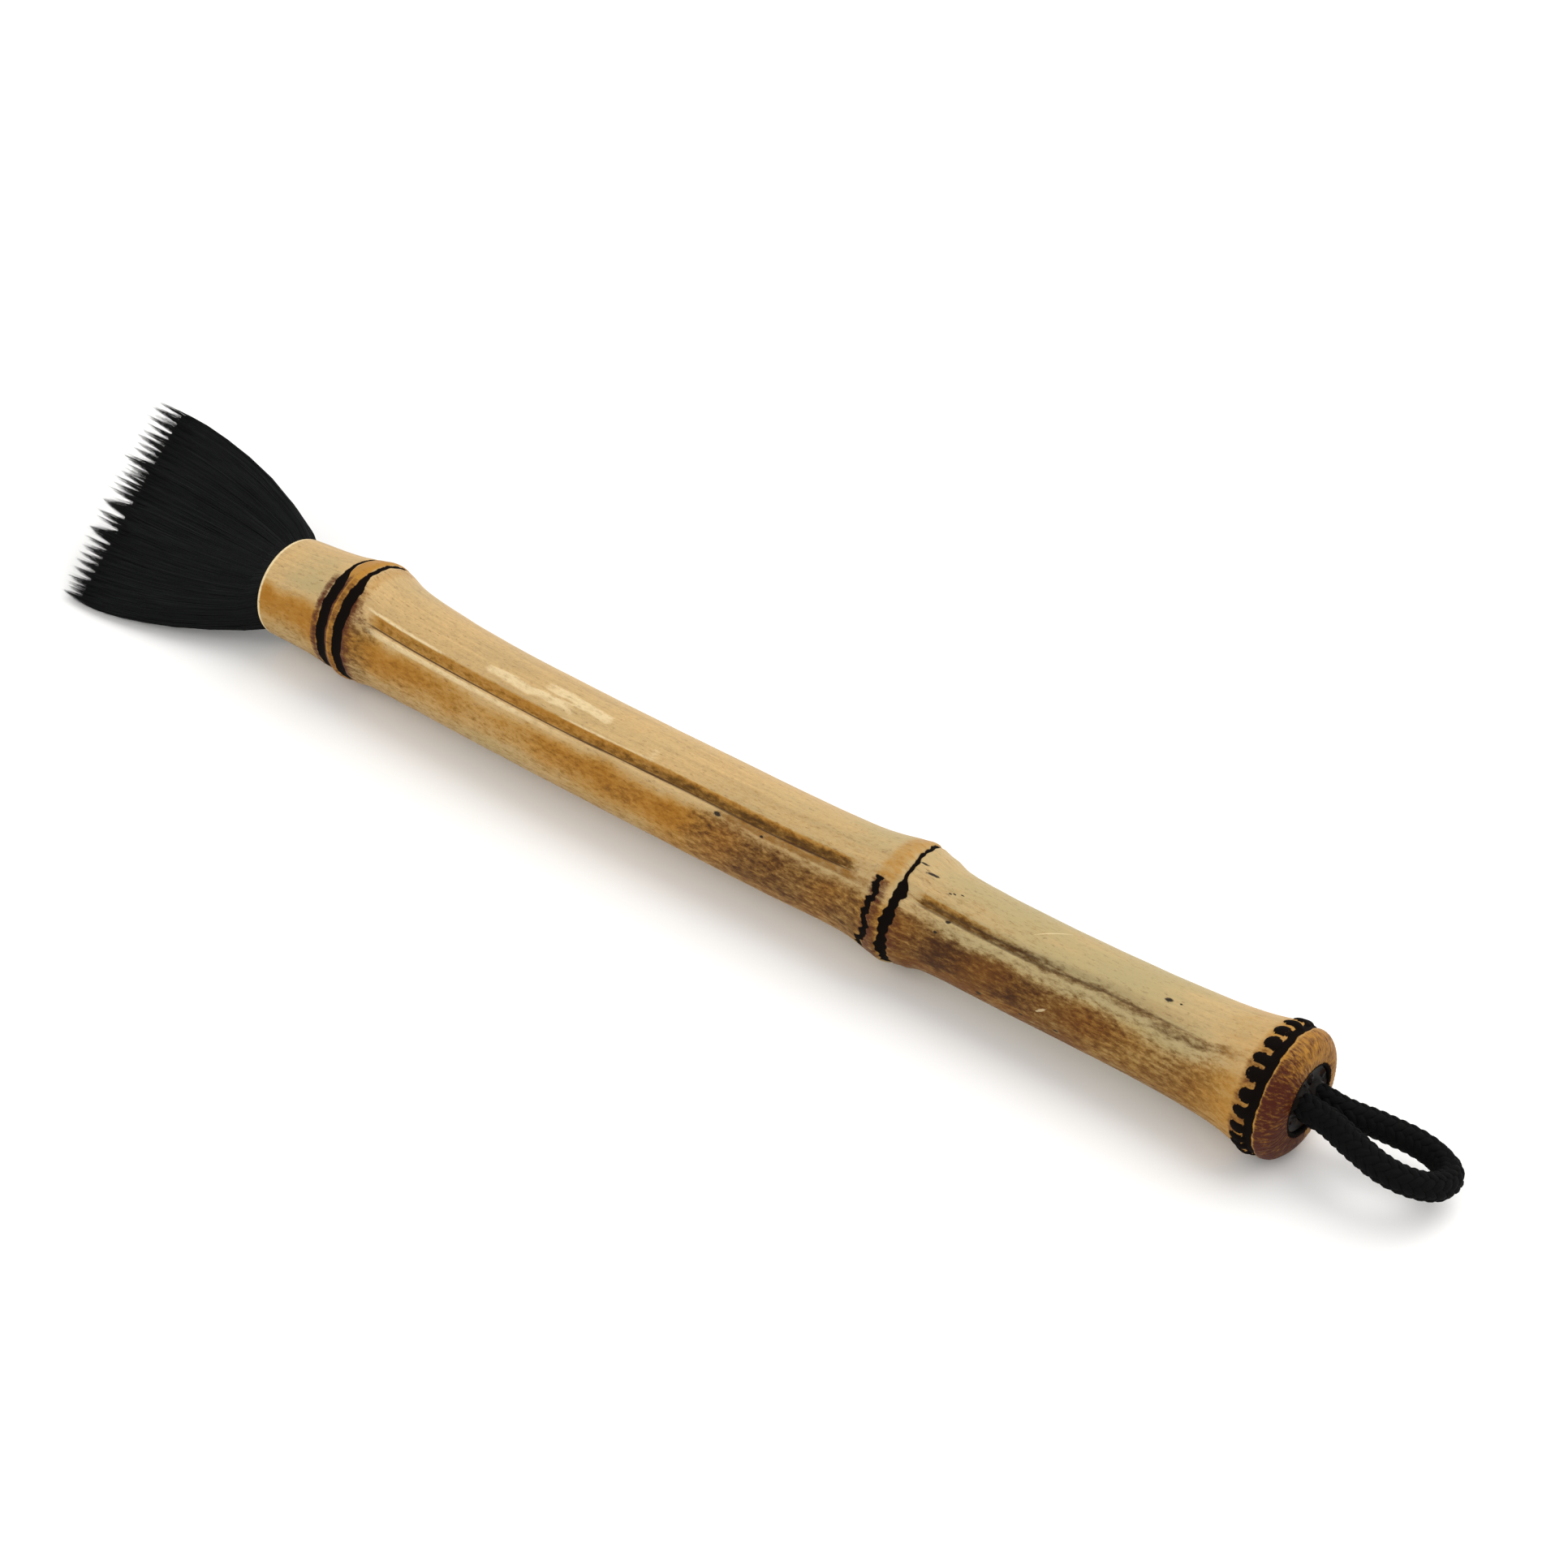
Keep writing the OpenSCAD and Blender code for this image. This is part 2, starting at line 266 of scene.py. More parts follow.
def culm_rings():
    """The culm's outline as rings, from the bore's end out over the skin and down the pith hole.

    Each ring is (x, y, z, radius, along). along is the distance over the skin: negative in the
    bore, x on the skin, and past DOME_START on the dome, its face and the hole.
    """
    rim = float(culm_r(0))
    rings = [(SOCKET_DEPTH, 0, RIM_Z, 6.6, -14.0), (SOCKET_DEPTH, 0, RIM_Z, SOCKET_R, -13.5),
             (8, 0, RIM_Z, SOCKET_R, -9.0), (1, 0, RIM_Z, SOCKET_R, -2.0),
             (0.2, 0, RIM_Z, SOCKET_R + 0.03, -1.4), (0, 0, RIM_Z, SOCKET_R + 0.15, -1.0),
             (0, 0, RIM_Z, rim - 0.18, -0.4), (0.1, 0, RIM_Z, rim - 0.05, 0.0)]
    # Closely spaced where the nodes and the root ring need it
    stations = np.concatenate([
        [0.45, 1, 2.5, 5, 8, 10.5], np.arange(12, 21.2, 0.5), [22.5, 25, 29, 34], np.arange(42, 107, 8),
        [111, 114.5], np.arange(117, 126.1, 0.55), [128, 131, 136, 142, 149, 156, 163, 169, 173, 175.5],
        np.arange(177.3, 182.02, 0.36)])
    for x in stations:
        rings.append((x, float(culm_y(x)), float(culm_z(x)), float(culm_r(x)), x))
    last = rings[-1]
    for k in range(1, DOME_RINGS + 1):
        turn = math.pi / 2 * k / DOME_RINGS
        share = 1 - math.cos(turn)
        rings.append((last[0] + (CULM_LEN - last[0]) * math.sin(turn),
                      last[1] + (HOLE_Y - last[1]) * share * 0.7,
                      last[2] + (HOLE_Z - last[2]) * share * 0.7,
                      last[3] + (BUTT_FACE_R - last[3]) * share, DOME_START + DOME_SPAN * k / DOME_RINGS))
    along = rings[-1][4]
    for x, r, step in ((CULM_LEN, 5.0, 1.0), (CULM_LEN - 0.1, 4.8, 1.4), (CULM_LEN - 0.5, 4.72, 1.9),
                       (CULM_LEN - 3, HOLE_R, 4.4), (CULM_LEN - HOLE_DEPTH, HOLE_R, 15.3),
                       (CULM_LEN - HOLE_DEPTH, 4.0, 16.0)):
        rings.append((x, HOLE_Y, HOLE_Z, r, along + step))
    return [(x + RIM_X, y, z, r, u) for x, y, z, r, u in rings]


def slow_waves(along, around, length, seed):
    """A gentle uneven surface between -1 and 1, with waves of about the given length in mm."""
    rng = np.random.default_rng(seed)
    total = 0
    for _ in range(7):
        turns = rng.integers(0, 4)
        total = total + np.sin(2 * math.pi * along / (length * rng.uniform(0.6, 1.8))
                               + np.radians(around) * turns + rng.uniform(0, 6.28))
    return total / 4


def ripple(around, turns, phase=0):
    """A wave with a whole number of turns round the culm."""
    return np.sin(np.radians(around) * turns + phase)


def ring_lines(around):
    """Places and half widths of the burnt rings, which thicken on the near side."""
    near = band(around, *NEAR_SIDE)
    line = np.interp(around, *zip(*SECOND_RING))
    uneven = 0.08 * ripple(around, 13) + 0.05 * ripple(around, 29)
    swell = 1 + 0.25 * ripple(around, 11, 1) + 0.2 * ripple(around, 37)
    return [(13.3 + 0.75 * near + uneven, 0.24 + 0.68 * near),
            (17.3 + 0.3 * near - uneven, 0.24 + 0.6 * near),
            (line + uneven, swell * (0.14 + 0.5 * band(around, 30, 135, 8))),
            (181.4 + uneven, 0.44 + 0.1 * near)]


def ragged_ring(around):
    """Place of the ragged burn just before the second node."""
    return 119.7 - 1.7 * smooth(80, 125, around)


def root_scars(along, around, settings):
    """Height from 0 to 1 of the cut root stubs round the root ring, and the rim round each."""
    rng = np.random.default_rng(11)
    height, halo = np.zeros_like(along), np.zeros_like(along)
    pitch = 360 / settings.scar_count
    for k in range(settings.scar_count):
        middle = -180 + pitch * (k + rng.uniform(-0.2, 0.2))
        place = 180.0 + rng.uniform(-0.2, 0.15)
        long_half, side_half = rng.uniform(1.1, 1.5), rng.uniform(0.9, 1.2)
        side = ((around - middle + 180) % 360 - 180) * math.pi / 180 * ROOT_SKIN_R
        away = ((along - place) / long_half) ** 2 + (side / side_half) ** 2
        height = np.maximum(height, np.clip(1 - away, 0, 1) ** 0.5 * rng.uniform(0.8, 1.1))
        halo = np.maximum(halo, np.exp(-np.abs(np.sqrt(away) - 0.62) * 7) * rng.uniform(0.0, 0.7))
    return height, halo


def groove_angle(along):
    """Where the groove's crease lies round the culm in each internode."""
    wander = 0.8 * slow_waves(along, along * 0, 50, 8)
    return np.where(along < NODE_2, 45 - 3 * smooth(55, 95, along),
                    41 - 7 * smooth(142, 157, along)) + wander


def groove_run(along):
    """1 where there is a groove, fading out near the nodes."""
    return (smooth(19.5, 24, along) * (1 - smooth(112, 119, along))
            + smooth(124, 127, along) * (1 - smooth(165, 178, along)))


def culm_relief(along, around, settings):
    """Fine relief of the culm's skin, in millimetres outwards."""
    skin = smooth(-0.2, 0.6, along) * (1 - smooth(182.2, 183.2, along))
    relief = 0.06 * slow_waves(along, around, 34, 3) + 0.02 * slow_waves(along, around, 9, 5)
    # The groove: a flat floor that ends in the crease, a ridge past it and a low one before it
    rel = around - groove_angle(along)
    floor = smooth(-13.5, -4, rel) * (1 - smooth(-1, 3.5, rel))
    relief = relief + groove_run(along) * (0.12 * hump(rel, 6, 4) + 0.05 * hump(rel, -15, 3)
                                           - settings.groove_depth / MM * floor)
    # Lips of the nodes, then the burnt rings sunk into them
    relief = relief + 0.14 * hump(along, 15.9, 0.8) + 0.15 * hump(along, 120.9, 0.8)
    relief = relief + 0.2 * hump(along, 124.9, 1.0)
    for (centre, half), depth in zip(ring_lines(around), (0.26, 0.26, 0.34, 0.26)):
        relief = relief - depth * np.exp(-np.abs((along - centre) / (half + 0.2)) ** 2.6)
    ragged = band(around, 33, 125, 4) * (1 + 0.4 * ripple(around, 23))
    middle = ragged_ring(around) + 0.2 * ripple(around, 9)
    relief = relief - 0.14 * ragged * hump(along, middle, 0.5)
    relief = relief * skin + settings.scar_height / MM * root_scars(along, around, settings)[0]
    dome = smooth(182.2, 183.4, along) * (1 - smooth(187.8, 188.6, along))
    fibres = ripple(around, 71, 3 * slow_waves(along, around, 3, 21))
    return relief + dome * (0.05 * fibres + 0.06 * slow_waves(along, around, 4, 13))


# ---- the culm's stains, painted highlights and painted shade ----

# A patch is (strength, reach along the culm in mm, reach round it in degrees), and a reach is
# (from, to, half width of its soft edge) or None for all of it.

SCORCHED = (  # beside the rings of the first node, the second node and the root ring
    (0.95, (14.6, 15.7, 0.4), NEAR_SIDE), (0.62, (15.7, 16.9, 0.3), NEAR_SIDE),
    (0.8, (11.8, 13.2, 0.6), NEAR_SIDE), (0.75, (118.6, 121.8, 0.7), (34, 128, 6)),
    (0.55, (178.2, 182.2, 0.6), NEAR_SIDE))
AMBER = (  # heated skin at the two nodes
    (0.95, (13.9, 16.9, 0.3), None), (0.45, (18, 20, 1.0), None),
    (0.6, (118.8, 122.3, 1.0), (-60, 50, 20)))
# Smoke mottling with even ends, then with uneven ends, whose row at 98 to 180 degrees along the whole culm
# is painted shade on the underside
BROWN = ((0.42, (124, 177, 3), (40, 112, 12)), (0.6, (18, 25, 3), (40, 115, 12)),
         (0.35, (2, 12, 2.5), (84, 112, 8)))
BROWN_UNEVEN_AND_SHADE = ((0.62, (139, 178, 6), (31, 45, 3)), (0.36, None, (98, 180, 12)),
                (0.34, None, (-180, -110, 20)))
BROWN_FADING = ((0.36, (18, 96, 7), (60, 110, 12)), (0.75, (88, 120.5, 8), (54, 112, 10)))
SMOKE = ((0.66, (88, 121, 8), (50, 125, 9)), (0.25, (60, 92, 8), (56, 84, 10)))
SCRAPED = ((1, (56, 69, 1.0), (-1, 13, 2)), (1, (45, 62, 1.5), (14, 26, 2.5)))
# The first row is a painted highlight along the first node's lip; the second is the pale collar of the root
# ring
PALE_AND_HIGHLIGHT = (  # lip of the first node, collar of the root ring
    (0.3, (16.0, 16.8, 0.25), None), (0.45, (175.5, 179, 1), (-60, 60, 15)))


def patches(rows, along, around):
    """The strongest of the patches at each point."""
    total = 0 * along
    for strength, reach, turn in rows:
        mask = strength * (band(along, *reach) if reach else 1) * (band(around, *turn) if turn else 1)
        total = np.maximum(total, mask)
    return total


def fading(along, start, reach):
    """1 at start, fading out over about reach mm towards the butt; 0 before start."""
    return np.where(along > start, np.exp(-(along - start) / reach), 0)


def culm_stains(along, around, settings):
    """How strongly each stain, painted highlight and painted shade shows at each point, 0 to 1."""
    # The same coordinates bent a little, for patches with uneven outlines
    along_w = along + 1.6 * slow_waves(along, around, 16, 41) + 0.5 * slow_waves(along, around, 3.5, 42)
    around_w = around + 3.5 * slow_waves(along, around, 18, 43) + 1.6 * slow_waves(along, around, 4.5, 44)
    fade = 0.85 + 0.2 * slow_waves(along, around, 9, 45)
    rel, run = around - groove_angle(along), groove_run(along)
    scars, rims = root_scars(along, around, settings)
    toasted = smooth(182.0, 182.6, along)

    burnt = 0 * along
    for centre, half in ring_lines(around):
        burnt = np.maximum(burnt, 1 - smooth(half - 0.1, half + 0.45, np.abs(along - centre)))
    middle = ragged_ring(around) + 0.25 * ripple(around, 9) + 0.16 * ripple(around, 23)
    broken = 0.55 + 0.25 * ripple(around, 31, 2) + 0.2 * ripple(around, 53)
    ragged = band(around, 34, 128, 2) * (
        1 - smooth(0.3 * broken + 0.1, 0.5 + broken, np.abs(along - middle)))
    beads = smooth(0.02, 0.3, scars) * (1 - 0.6 * rims)
    burnt = np.maximum.reduce([burnt, 0.95 * ragged, beads, 0.85 * smooth(187.0, 188.2, along)])

    scorch = np.maximum.reduce([
        patches(SCORCHED, along, around), 0.6 * smooth(0.02, 0.25, scars),
        fading(along, 18, 2.8) * (0.42 + 0.75 * band(around, 25, 125, 22)),
        fading(along, 123.2, 1.3) * band(around, 28, 62, 8),
        fading(along, 123.0, 2.6) * 0.85 * band(around, 60, 105, 10)])
    amber = np.maximum.reduce([
        patches(AMBER, along, around),
        0.12 * band(along, 123.4, 126, 1.0) * (1 - band(around, 22, 130, 10)),
        0.75 * smooth(176.5, 179.5, along), 0.4 * smooth(168, 178, along),
        0.7 * smooth(181.8, 182.8, along)])

    groove_floor = (smooth(-15 + 3 * slow_waves(along, along * 0, 14, 51), -5, rel)
                    * (1 - smooth(-1.5, 0.5, rel)))
    # Brown: smoke mottling and the groove's floor, with painted shade along the underside
    brown = np.maximum.reduce([
        (0.42 + 0.5 * smooth(58, 92, along)) * (1 - 0.7 * smooth(142, 155, along)) * run * groove_floor,
        patches(BROWN, along, around_w), patches(BROWN_UNEVEN_AND_SHADE, along_w, around_w),
        fade * patches(BROWN_FADING, along_w, around_w),
        fade * (0.52 + 0.26 * (1 - smooth(135, 160, along_w))) * smooth(122.6, 123.6, along)
        * (1 - smooth(168, 178, along_w)) * band(around_w, 54, 104, 9)])
    rear = smooth(122.4, 123.4, along) * (1 - smooth(171, 179, along_w))
    smoke = np.maximum.reduce([
        patches(SMOKE, along_w, around_w), 0.5 * band(along, 143, 177, 8) * band(around_w, 31, 43, 3.5),
        (0.9 + 0.2 * slow_waves(along, around, 13, 46)) * (1.0 - 0.45 * smooth(140, 172, along_w))
        * rear * smooth(46, 64, around_w) * (1 - smooth(135, 160, around)),
        0.85 * band(along_w, 92, 119, 4) * band(rel, 0, 9, 2),
        0.25 * band(along_w, 88, 144, 9) * smooth(-8, 14, around_w) * (1 - smooth(120, 150, around)),
        (0.42 + 0.5 * band(around, 30, 200, 25)) * smooth(182.1, 182.7, along)])

    # The crease, painted shade in the bottom of the groove, is thin and sharp in the first internode, and
    # broad and soft in the second
    soft = smooth(120, 128, along)
    crease = np.maximum(
        run * (1 - 0.3 * soft) * (1 - smooth(0.5 + 0.4 * soft, 1.9 + 1.6 * soft, np.abs(rel))),
        0.8 * band(along, 126, 146, 2) * (1 - smooth(0.5, 1.8, np.abs(rel + 6))))
    scraped = np.maximum.reduce([
        patches(SCRAPED, along_w, around_w), band(along_w, 60, 78, 1.5) * band(rel, -14.5, -11.5, 0.8),
        band(along, 76.8, 78.2, 0.4) * band(around, 14, 32, 2)])
    pale = np.maximum.reduce([
        patches(PALE_AND_HIGHLIGHT, along, around), 0.75 * scraped, 0.95 * (1 - smooth(0.4, 0.9, along)),
        # Painted highlights: along the low ledge before the groove, then along the ridge past the crease
        0.95 * band(along, 20, 38, 3) * hump(rel, -13.5, 2.2),
        run * (0.42 + 0.28 * (1 - smooth(50, 70, along))) * band(rel, 2, 8.5, 1.2),
        # Painted highlight on top of the rear internode
        0.35 * band(along, 142, 177, 6) * band(around_w, -70, 28, 12),
        0.4 * band(along, 76, 90, 2) * hump(around, 88, 1.5),
        0.4 * band(along, 94, 109, 2) * hump(around, 107, 1.3)])

    olive = (0.28 + 0.22 * smooth(80, 116, along) + 0.25 * smooth(124, 132, along)
             - 0.42 * smooth(160, 180, along) + 0.22 * band(around, 92, 150, 12)
             + 0.10 * slow_waves(along, around, 24, 31)
             + 0.3 * band(along, 3, 12, 3) * band(around, -5, 45, 12))
    side = smooth(38, 68, around_w) * (1 - smooth(120, 165, around)) * (
        1 - 0.45 * smooth(74, 104, around_w) * (1 - smooth(70, 100, along_w)))
    ageing = 0.8 - 0.2 * smooth(84, 100, along) - 0.28 * hump(along, 50, 9)
    gold = np.maximum.reduce([
        (1 + 0.10 * slow_waves(along, around, 12, 47)) * side * ageing,
        0.12 + 0.3 * band(around, -180, -95, 22),
        0.7 * run * band(rel, -13, 0, 2) * (1 - smooth(130, 150, along)),
        0.9 * smooth(182.0, 183.0, along)])
    toast = toasted * (0.52 + 0.62 * band(around, 25, 200, 25))
    return {"burnt": burnt, "scorch": np.clip(scorch, 0, 1), "amber": amber, "brown": brown,
            "crease": crease, "pale": pale, "olive": np.clip(olive, 0, 1), "gold": gold,
            "smoke": smoke, "toast": toast}


# ---- the hair's shape ----

TIED_W, TIED_T = 7.1, 6.9  # half width and half thickness of the hair in the socket's mouth
HAIR_START = -1.4  # where each hair begins, from the rim


def fan_half_w(s):
    """Half width of the hair at a distance from the rim; round inside the bore."""
    free = 7.5 + 10.9 * (1 - (1 - np.clip(s, 0, 45.9) / 46) ** 2.3)
    return TIED_W + (free - TIED_W) * smooth(-0.3, 2.2, s)


def fan_half_t(s):
    """Half thickness of the hair."""
    free = 0.9 + 3.2 * np.exp(-np.clip(s, 0, None) / 17) + 0.9 * (1 - np.clip(s, 0, TUFT_LEN) / TUFT_LEN)
    return TIED_T + (free - TIED_T) * smooth(-0.8, 3.4, s)


def fan_surface(s, share):
    """Half thickness at a share of the half width."""
    power = 2 + 0.5 * smooth(-0.5, 3, s)
    edge = 0.5 * smooth(-0.5, 4, s)
    lift = (1 - np.clip(np.abs(share), 0, 1) ** power) ** (1 / power)
    return edge + (fan_half_t(s) - edge) * lift


def fan_place(s, v, t):
    """Frame place of a point of the hair: s from the rim, v across the width, t through it."""
    return np.stack([RIM_X - s - TIP_SLANT * v * (np.clip(s, 0, None) / TUFT_LEN) ** 2,
                     v * math.cos(TUFT_ROLL) - t * math.sin(TUFT_ROLL),
                     RIM_Z + v * math.sin(TUFT_ROLL) + t * math.cos(TUFT_ROLL)], axis=-1)


def clumps(settings):
    """Middle, half width, lean, notch depth and reach of each uneven clump along the tip edge."""
    rng = np.random.default_rng(14)
    count = settings.clump_count
    edges = np.concatenate([[0], np.cumsum(rng.lognormal(0, 0.4, count))])
    edges = (edges / edges[-1] * 2 - 1) * float(fan_half_w(TUFT_LEN))
    middle, half = 0.5 * (edges[1:] + edges[:-1]), 0.5 * (edges[1:] - edges[:-1])
    return middle, half, rng.normal(0, 0.6, count), rng.uniform(0.45, 1.0, count), rng.normal(0, 0.45, count)


def hair_paths(settings, share, layer, seed):
    """A function from s to every hair's v and t, and where each hair ends."""
    rng = np.random.default_rng(seed)
    middle, half, lean, notch, ahead = clumps(settings)
    at_tip = share * float(fan_half_w(TUFT_LEN))
    nearest = np.argmin(np.abs(at_tip[:, None] - middle[None, :]) - half[None, :], axis=1)
    off = np.clip(np.abs(at_tip - middle[nearest]) / half[nearest], 0, 1)
    stray = rng.random(share.size) < 0.05
    ends = (TUFT_LEN + 0.5 - 0.6 * share ** 2 + ahead[nearest] * 0.9
            - notch[nearest] * off ** 1.25 * settings.notch_depth / MM
            - rng.gamma(1.1, 0.75, share.size))
    ends = np.where(stray, ends + rng.uniform(0.2, 1.4, share.size), ends)
    gather = np.where(stray, 0.35, rng.uniform(0.5, 0.95, share.size))
    phase = rng.uniform(0, 6.28, (3, share.size))
    drift = rng.normal(0, 0.16, share.size)

    def path(s):
        """v and t for s given as one row for each hair."""
        width = fan_half_w(s)
        pull = gather[:, None] * smooth(TUFT_LEN - 11, TUFT_LEN + 0.5, s)
        aim = (middle[nearest] / float(fan_half_w(TUFT_LEN)))[:, None] * width
        aim = aim + lean[nearest][:, None] * 0.4 * pull
        free = smooth(2, 20, s)
        v = share[:, None] * (width - 0.08)
        v = v + free * (0.10 * np.sin(s / 5.5 + phase[0][:, None]) + drift[:, None] * s / TUFT_LEN)
        v = np.clip(v, -width, width)
        v = v + pull * (aim - v)
        t = layer[:, None] * (fan_surface(s, share[:, None]) - 0.07) * (1 - 0.45 * pull)
        t = t + free * 0.05 * np.sin(s / 4.3 + phase[1][:, None])
        return v, t

    return path, ends


def make_hairs(name, settings, share, layer, seed):
    """One hair modelled from a cone and laid along every path of a layer."""
    bpy.ops.object.select_all(action="DESELECT")
    bpy.ops.mesh.primitive_cone_add(vertices=3, radius1=1, radius2=0.12, depth=1, location=(0, 0, 0.5))
    hair = bpy.context.object
    bpy.ops.object.transform_apply(location=True, rotation=False, scale=False)
    bpy.ops.object.mode_set(mode="EDIT")
    # Closer together towards the tip, where a hair bends into its clump
    for level in (0.05, 0.14, 0.27, 0.42, 0.57, 0.69, 0.78, 0.86, 0.92, 0.965):
        bpy.ops.mesh.select_all(action="SELECT")
        bpy.ops.mesh.bisect(plane_co=(0, 0, level), plane_no=(0, 0, 1))
    bpy.ops.object.mode_set(mode="OBJECT")
    master = points_of(hair) * MM
    faces = [list(p.vertices) for p in hair.data.polygons]
    bpy.data.objects.remove(hair)
    path, ends = hair_paths(settings, share, layer, seed)
    rng = np.random.default_rng(seed + 1)
    up = master[:, 2]
    around = np.arctan2(master[:, 1], master[:, 0])
    taper = 1 - 0.86 * smooth(0.66, 1.0, up) - 0.1 * up
    s = HAIR_START + up[None, :] * (ends - HAIR_START)[:, None]
    v, t = path(s)
    thick = settings.hair_diameter / MM / 2 * rng.uniform(0.75, 1.25, share.size)
    turn = around[None, :] + rng.uniform(0, 6.28, share.size)[:, None]
    size = thick[:, None] * taper[None, :]
    places = fan_place(s, v + size * np.cos(turn), t + size * np.sin(turn))
    places[..., 2] = np.maximum(places[..., 2], TABLE_GAP)
    count = len(master)
    mesh = bpy.data.meshes.new(name)
    every = [[i + k * count for i in face] for k in range(share.size) for face in faces]
    mesh.from_pydata((places.reshape(-1, 3) * MM).tolist(), [], every)
    obj = bpy.data.objects.new(name, mesh)
    bpy.context.collection.objects.link(obj)
    keep(obj, "strand", np.repeat(rng.random(share.size), count))
    keep(obj, "reach", np.tile(up, share.size))
    shade_smooth(obj)
    return obj


# ---- sizes and colours a user would change ----

def length(name, text, value, **more):
    return bpy.props.FloatProperty(name=name, description=text, default=value, unit="LENGTH",
                                   precision=5, **more)


def colour(name, text, code):
    return bpy.props.FloatVectorProperty(name=name, description=text, default=srgb(code), size=4,
                                         subtype="COLOR", min=0, max=1)


class CulmSettings(bpy.types.PropertyGroup):
    groove_depth: length("Groove depth", "Depth of the long grooves", 0.00055)
    scar_count: bpy.props.IntProperty(name="Root scars", description="Cut root stubs round the root ring",
                                      default=24, min=8)
    scar_height: length("Scar height", "How far the root scars stand proud", 0.0004)
    skin: colour("Skin", "Tan of the cured skin", "#c2a373")
    aged_skin: colour("Aged skin", "Olive grey of the upper skin", "#a6956a")
    gold: colour("Gold", "Golden brown of the lower skin", "#987126")
    honey: colour("Honey", "Yellowing of the waxed lower skin", "#ffe3a0")
    smoke: colour("Smoke", "Smoke stain that darkens the skin", "#b0925c")
    # Cream is also the painted highlight on the ridges by the groove, the first node's lip and the rear
    # internode's top
    cream: colour("Cream", "Pale ridges, scrapes and the rim's edge", "#d9c397")
    # Brown is also the painted shade along the culm's underside
    brown: colour("Brown", "Smoked mottling", "#523504")
    # Crease: painted shade in the bottom of the grooves
    crease: colour("Crease", "Bottom of the grooves", "#3d2512")
    scorch: colour("Scorch", "Reddish brown beside the char", "#4c2207")
    amber: colour("Amber", "Skin warmed beside the burns", "#a5752c")
    toast: colour("Toast", "Deep colour of the toasted root end", "#421606")
    char: colour("Char", "Burnt rings and root scars", "#0d0806")


class HairSettings(bpy.types.PropertyGroup):
    hair_count: bpy.props.IntProperty(name="Hairs in a layer", description="Hairs on each face of the fan",
                                      default=2700, min=200, max=2800)
    hair_diameter: length("Hair diameter", "Thickness of one hair, drawn a little coarse", 0.00019)
    clump_count: bpy.props.IntProperty(name="Clumps", description="Pointed clumps along the tip edge",
                                       default=30, min=4)
    notch_depth: length("Notch depth", "Depth of the deepest notches between the clumps", 0.0037)
    dark: colour("Dark", "Darkest hairs", "#0c0d0d")
    light: colour("Light", "Lightest hairs", "#1c1e1d")


class LoopSettings(bpy.types.PropertyGroup):
    cord_diameter: length("Cord diameter", "Across the braid", 0.004)
    pitch: length("Pitch", "Length of one turn of a yarn", 0.011)
    yarns: bpy.props.IntProperty(name="Yarns each way", description="Half the braid's yarns",
                                 default=8, min=4)
    cord: colour("Cord", "Dyed yarn", "#0a0a0a")


class ResinSettings(bpy.types.PropertyGroup):
    bubbles: bpy.props.IntProperty(name="Bubbles", description="Bubbles in the resin's face",
                                   default=30, min=0)
    resin: colour("Resin", "Dark set resin", "#0e0906")
    thin_resin: colour("Thin resin", "Resin where it is thin", "#4a2a14")


class StageSettings(bpy.types.PropertyGroup):
    floor: colour("Floor", "Pale table", "#f4f3f1")
    key_energy: bpy.props.FloatProperty(name="Key light", description="Power of the large soft light",
                                        default=6.5, unit="POWER")
    fill_energy: bpy.props.FloatProperty(name="Fill light", description="Power of the fill light",
                                         default=2.0, unit="POWER")
    sky: bpy.props.FloatProperty(name="Sky", description="Strength of the light from all round",
                                 default=0.84, subtype="FACTOR")


# ---- materials ----

# Small marks on the skin: mm along the culm, degrees round it, half length and half width in mm,
# lean in radians, and whether it is a pale scratch or a dark speck
SKIN_MARKS = (
    (92.0, 49, 0.65, 0.45, 0.2, False), (164.3, 12, 0.6, 0.42, 0.3, False),
    (166.0, 11, 0.2, 0.2, 0, False), (100.0, 50, 0.3, 0.25, 0, False), (131.0, 43, 0.4, 0.32, 0, False),
    (130.0, 59, 0.3, 0.25, 0, False), (123.7, 1, 0.6, 0.22, 0.2, False),
    (125.5, 6, 1.0, 0.26, 0.5, False), (129.2, 14, 0.3, 0.16, 0, False),
    (129.7, 12, 0.25, 0.15, 0, False), (130.6, 8.6, 0.25, 0.15, 0, False),
    (138.0, 108, 0.5, 0.4, 0, False), (145.0, 107, 0.4, 0.3, 0, False), (150.7, 105, 0.4, 0.3, 0, False),
    (144.8, -2, 3.2, 0.13, 0.85, True), (148.3, 85, 1.0, 0.24, 0.8, True))
WRAP_R = 10  # radius in mm of the round on which the skin's patterns are laid


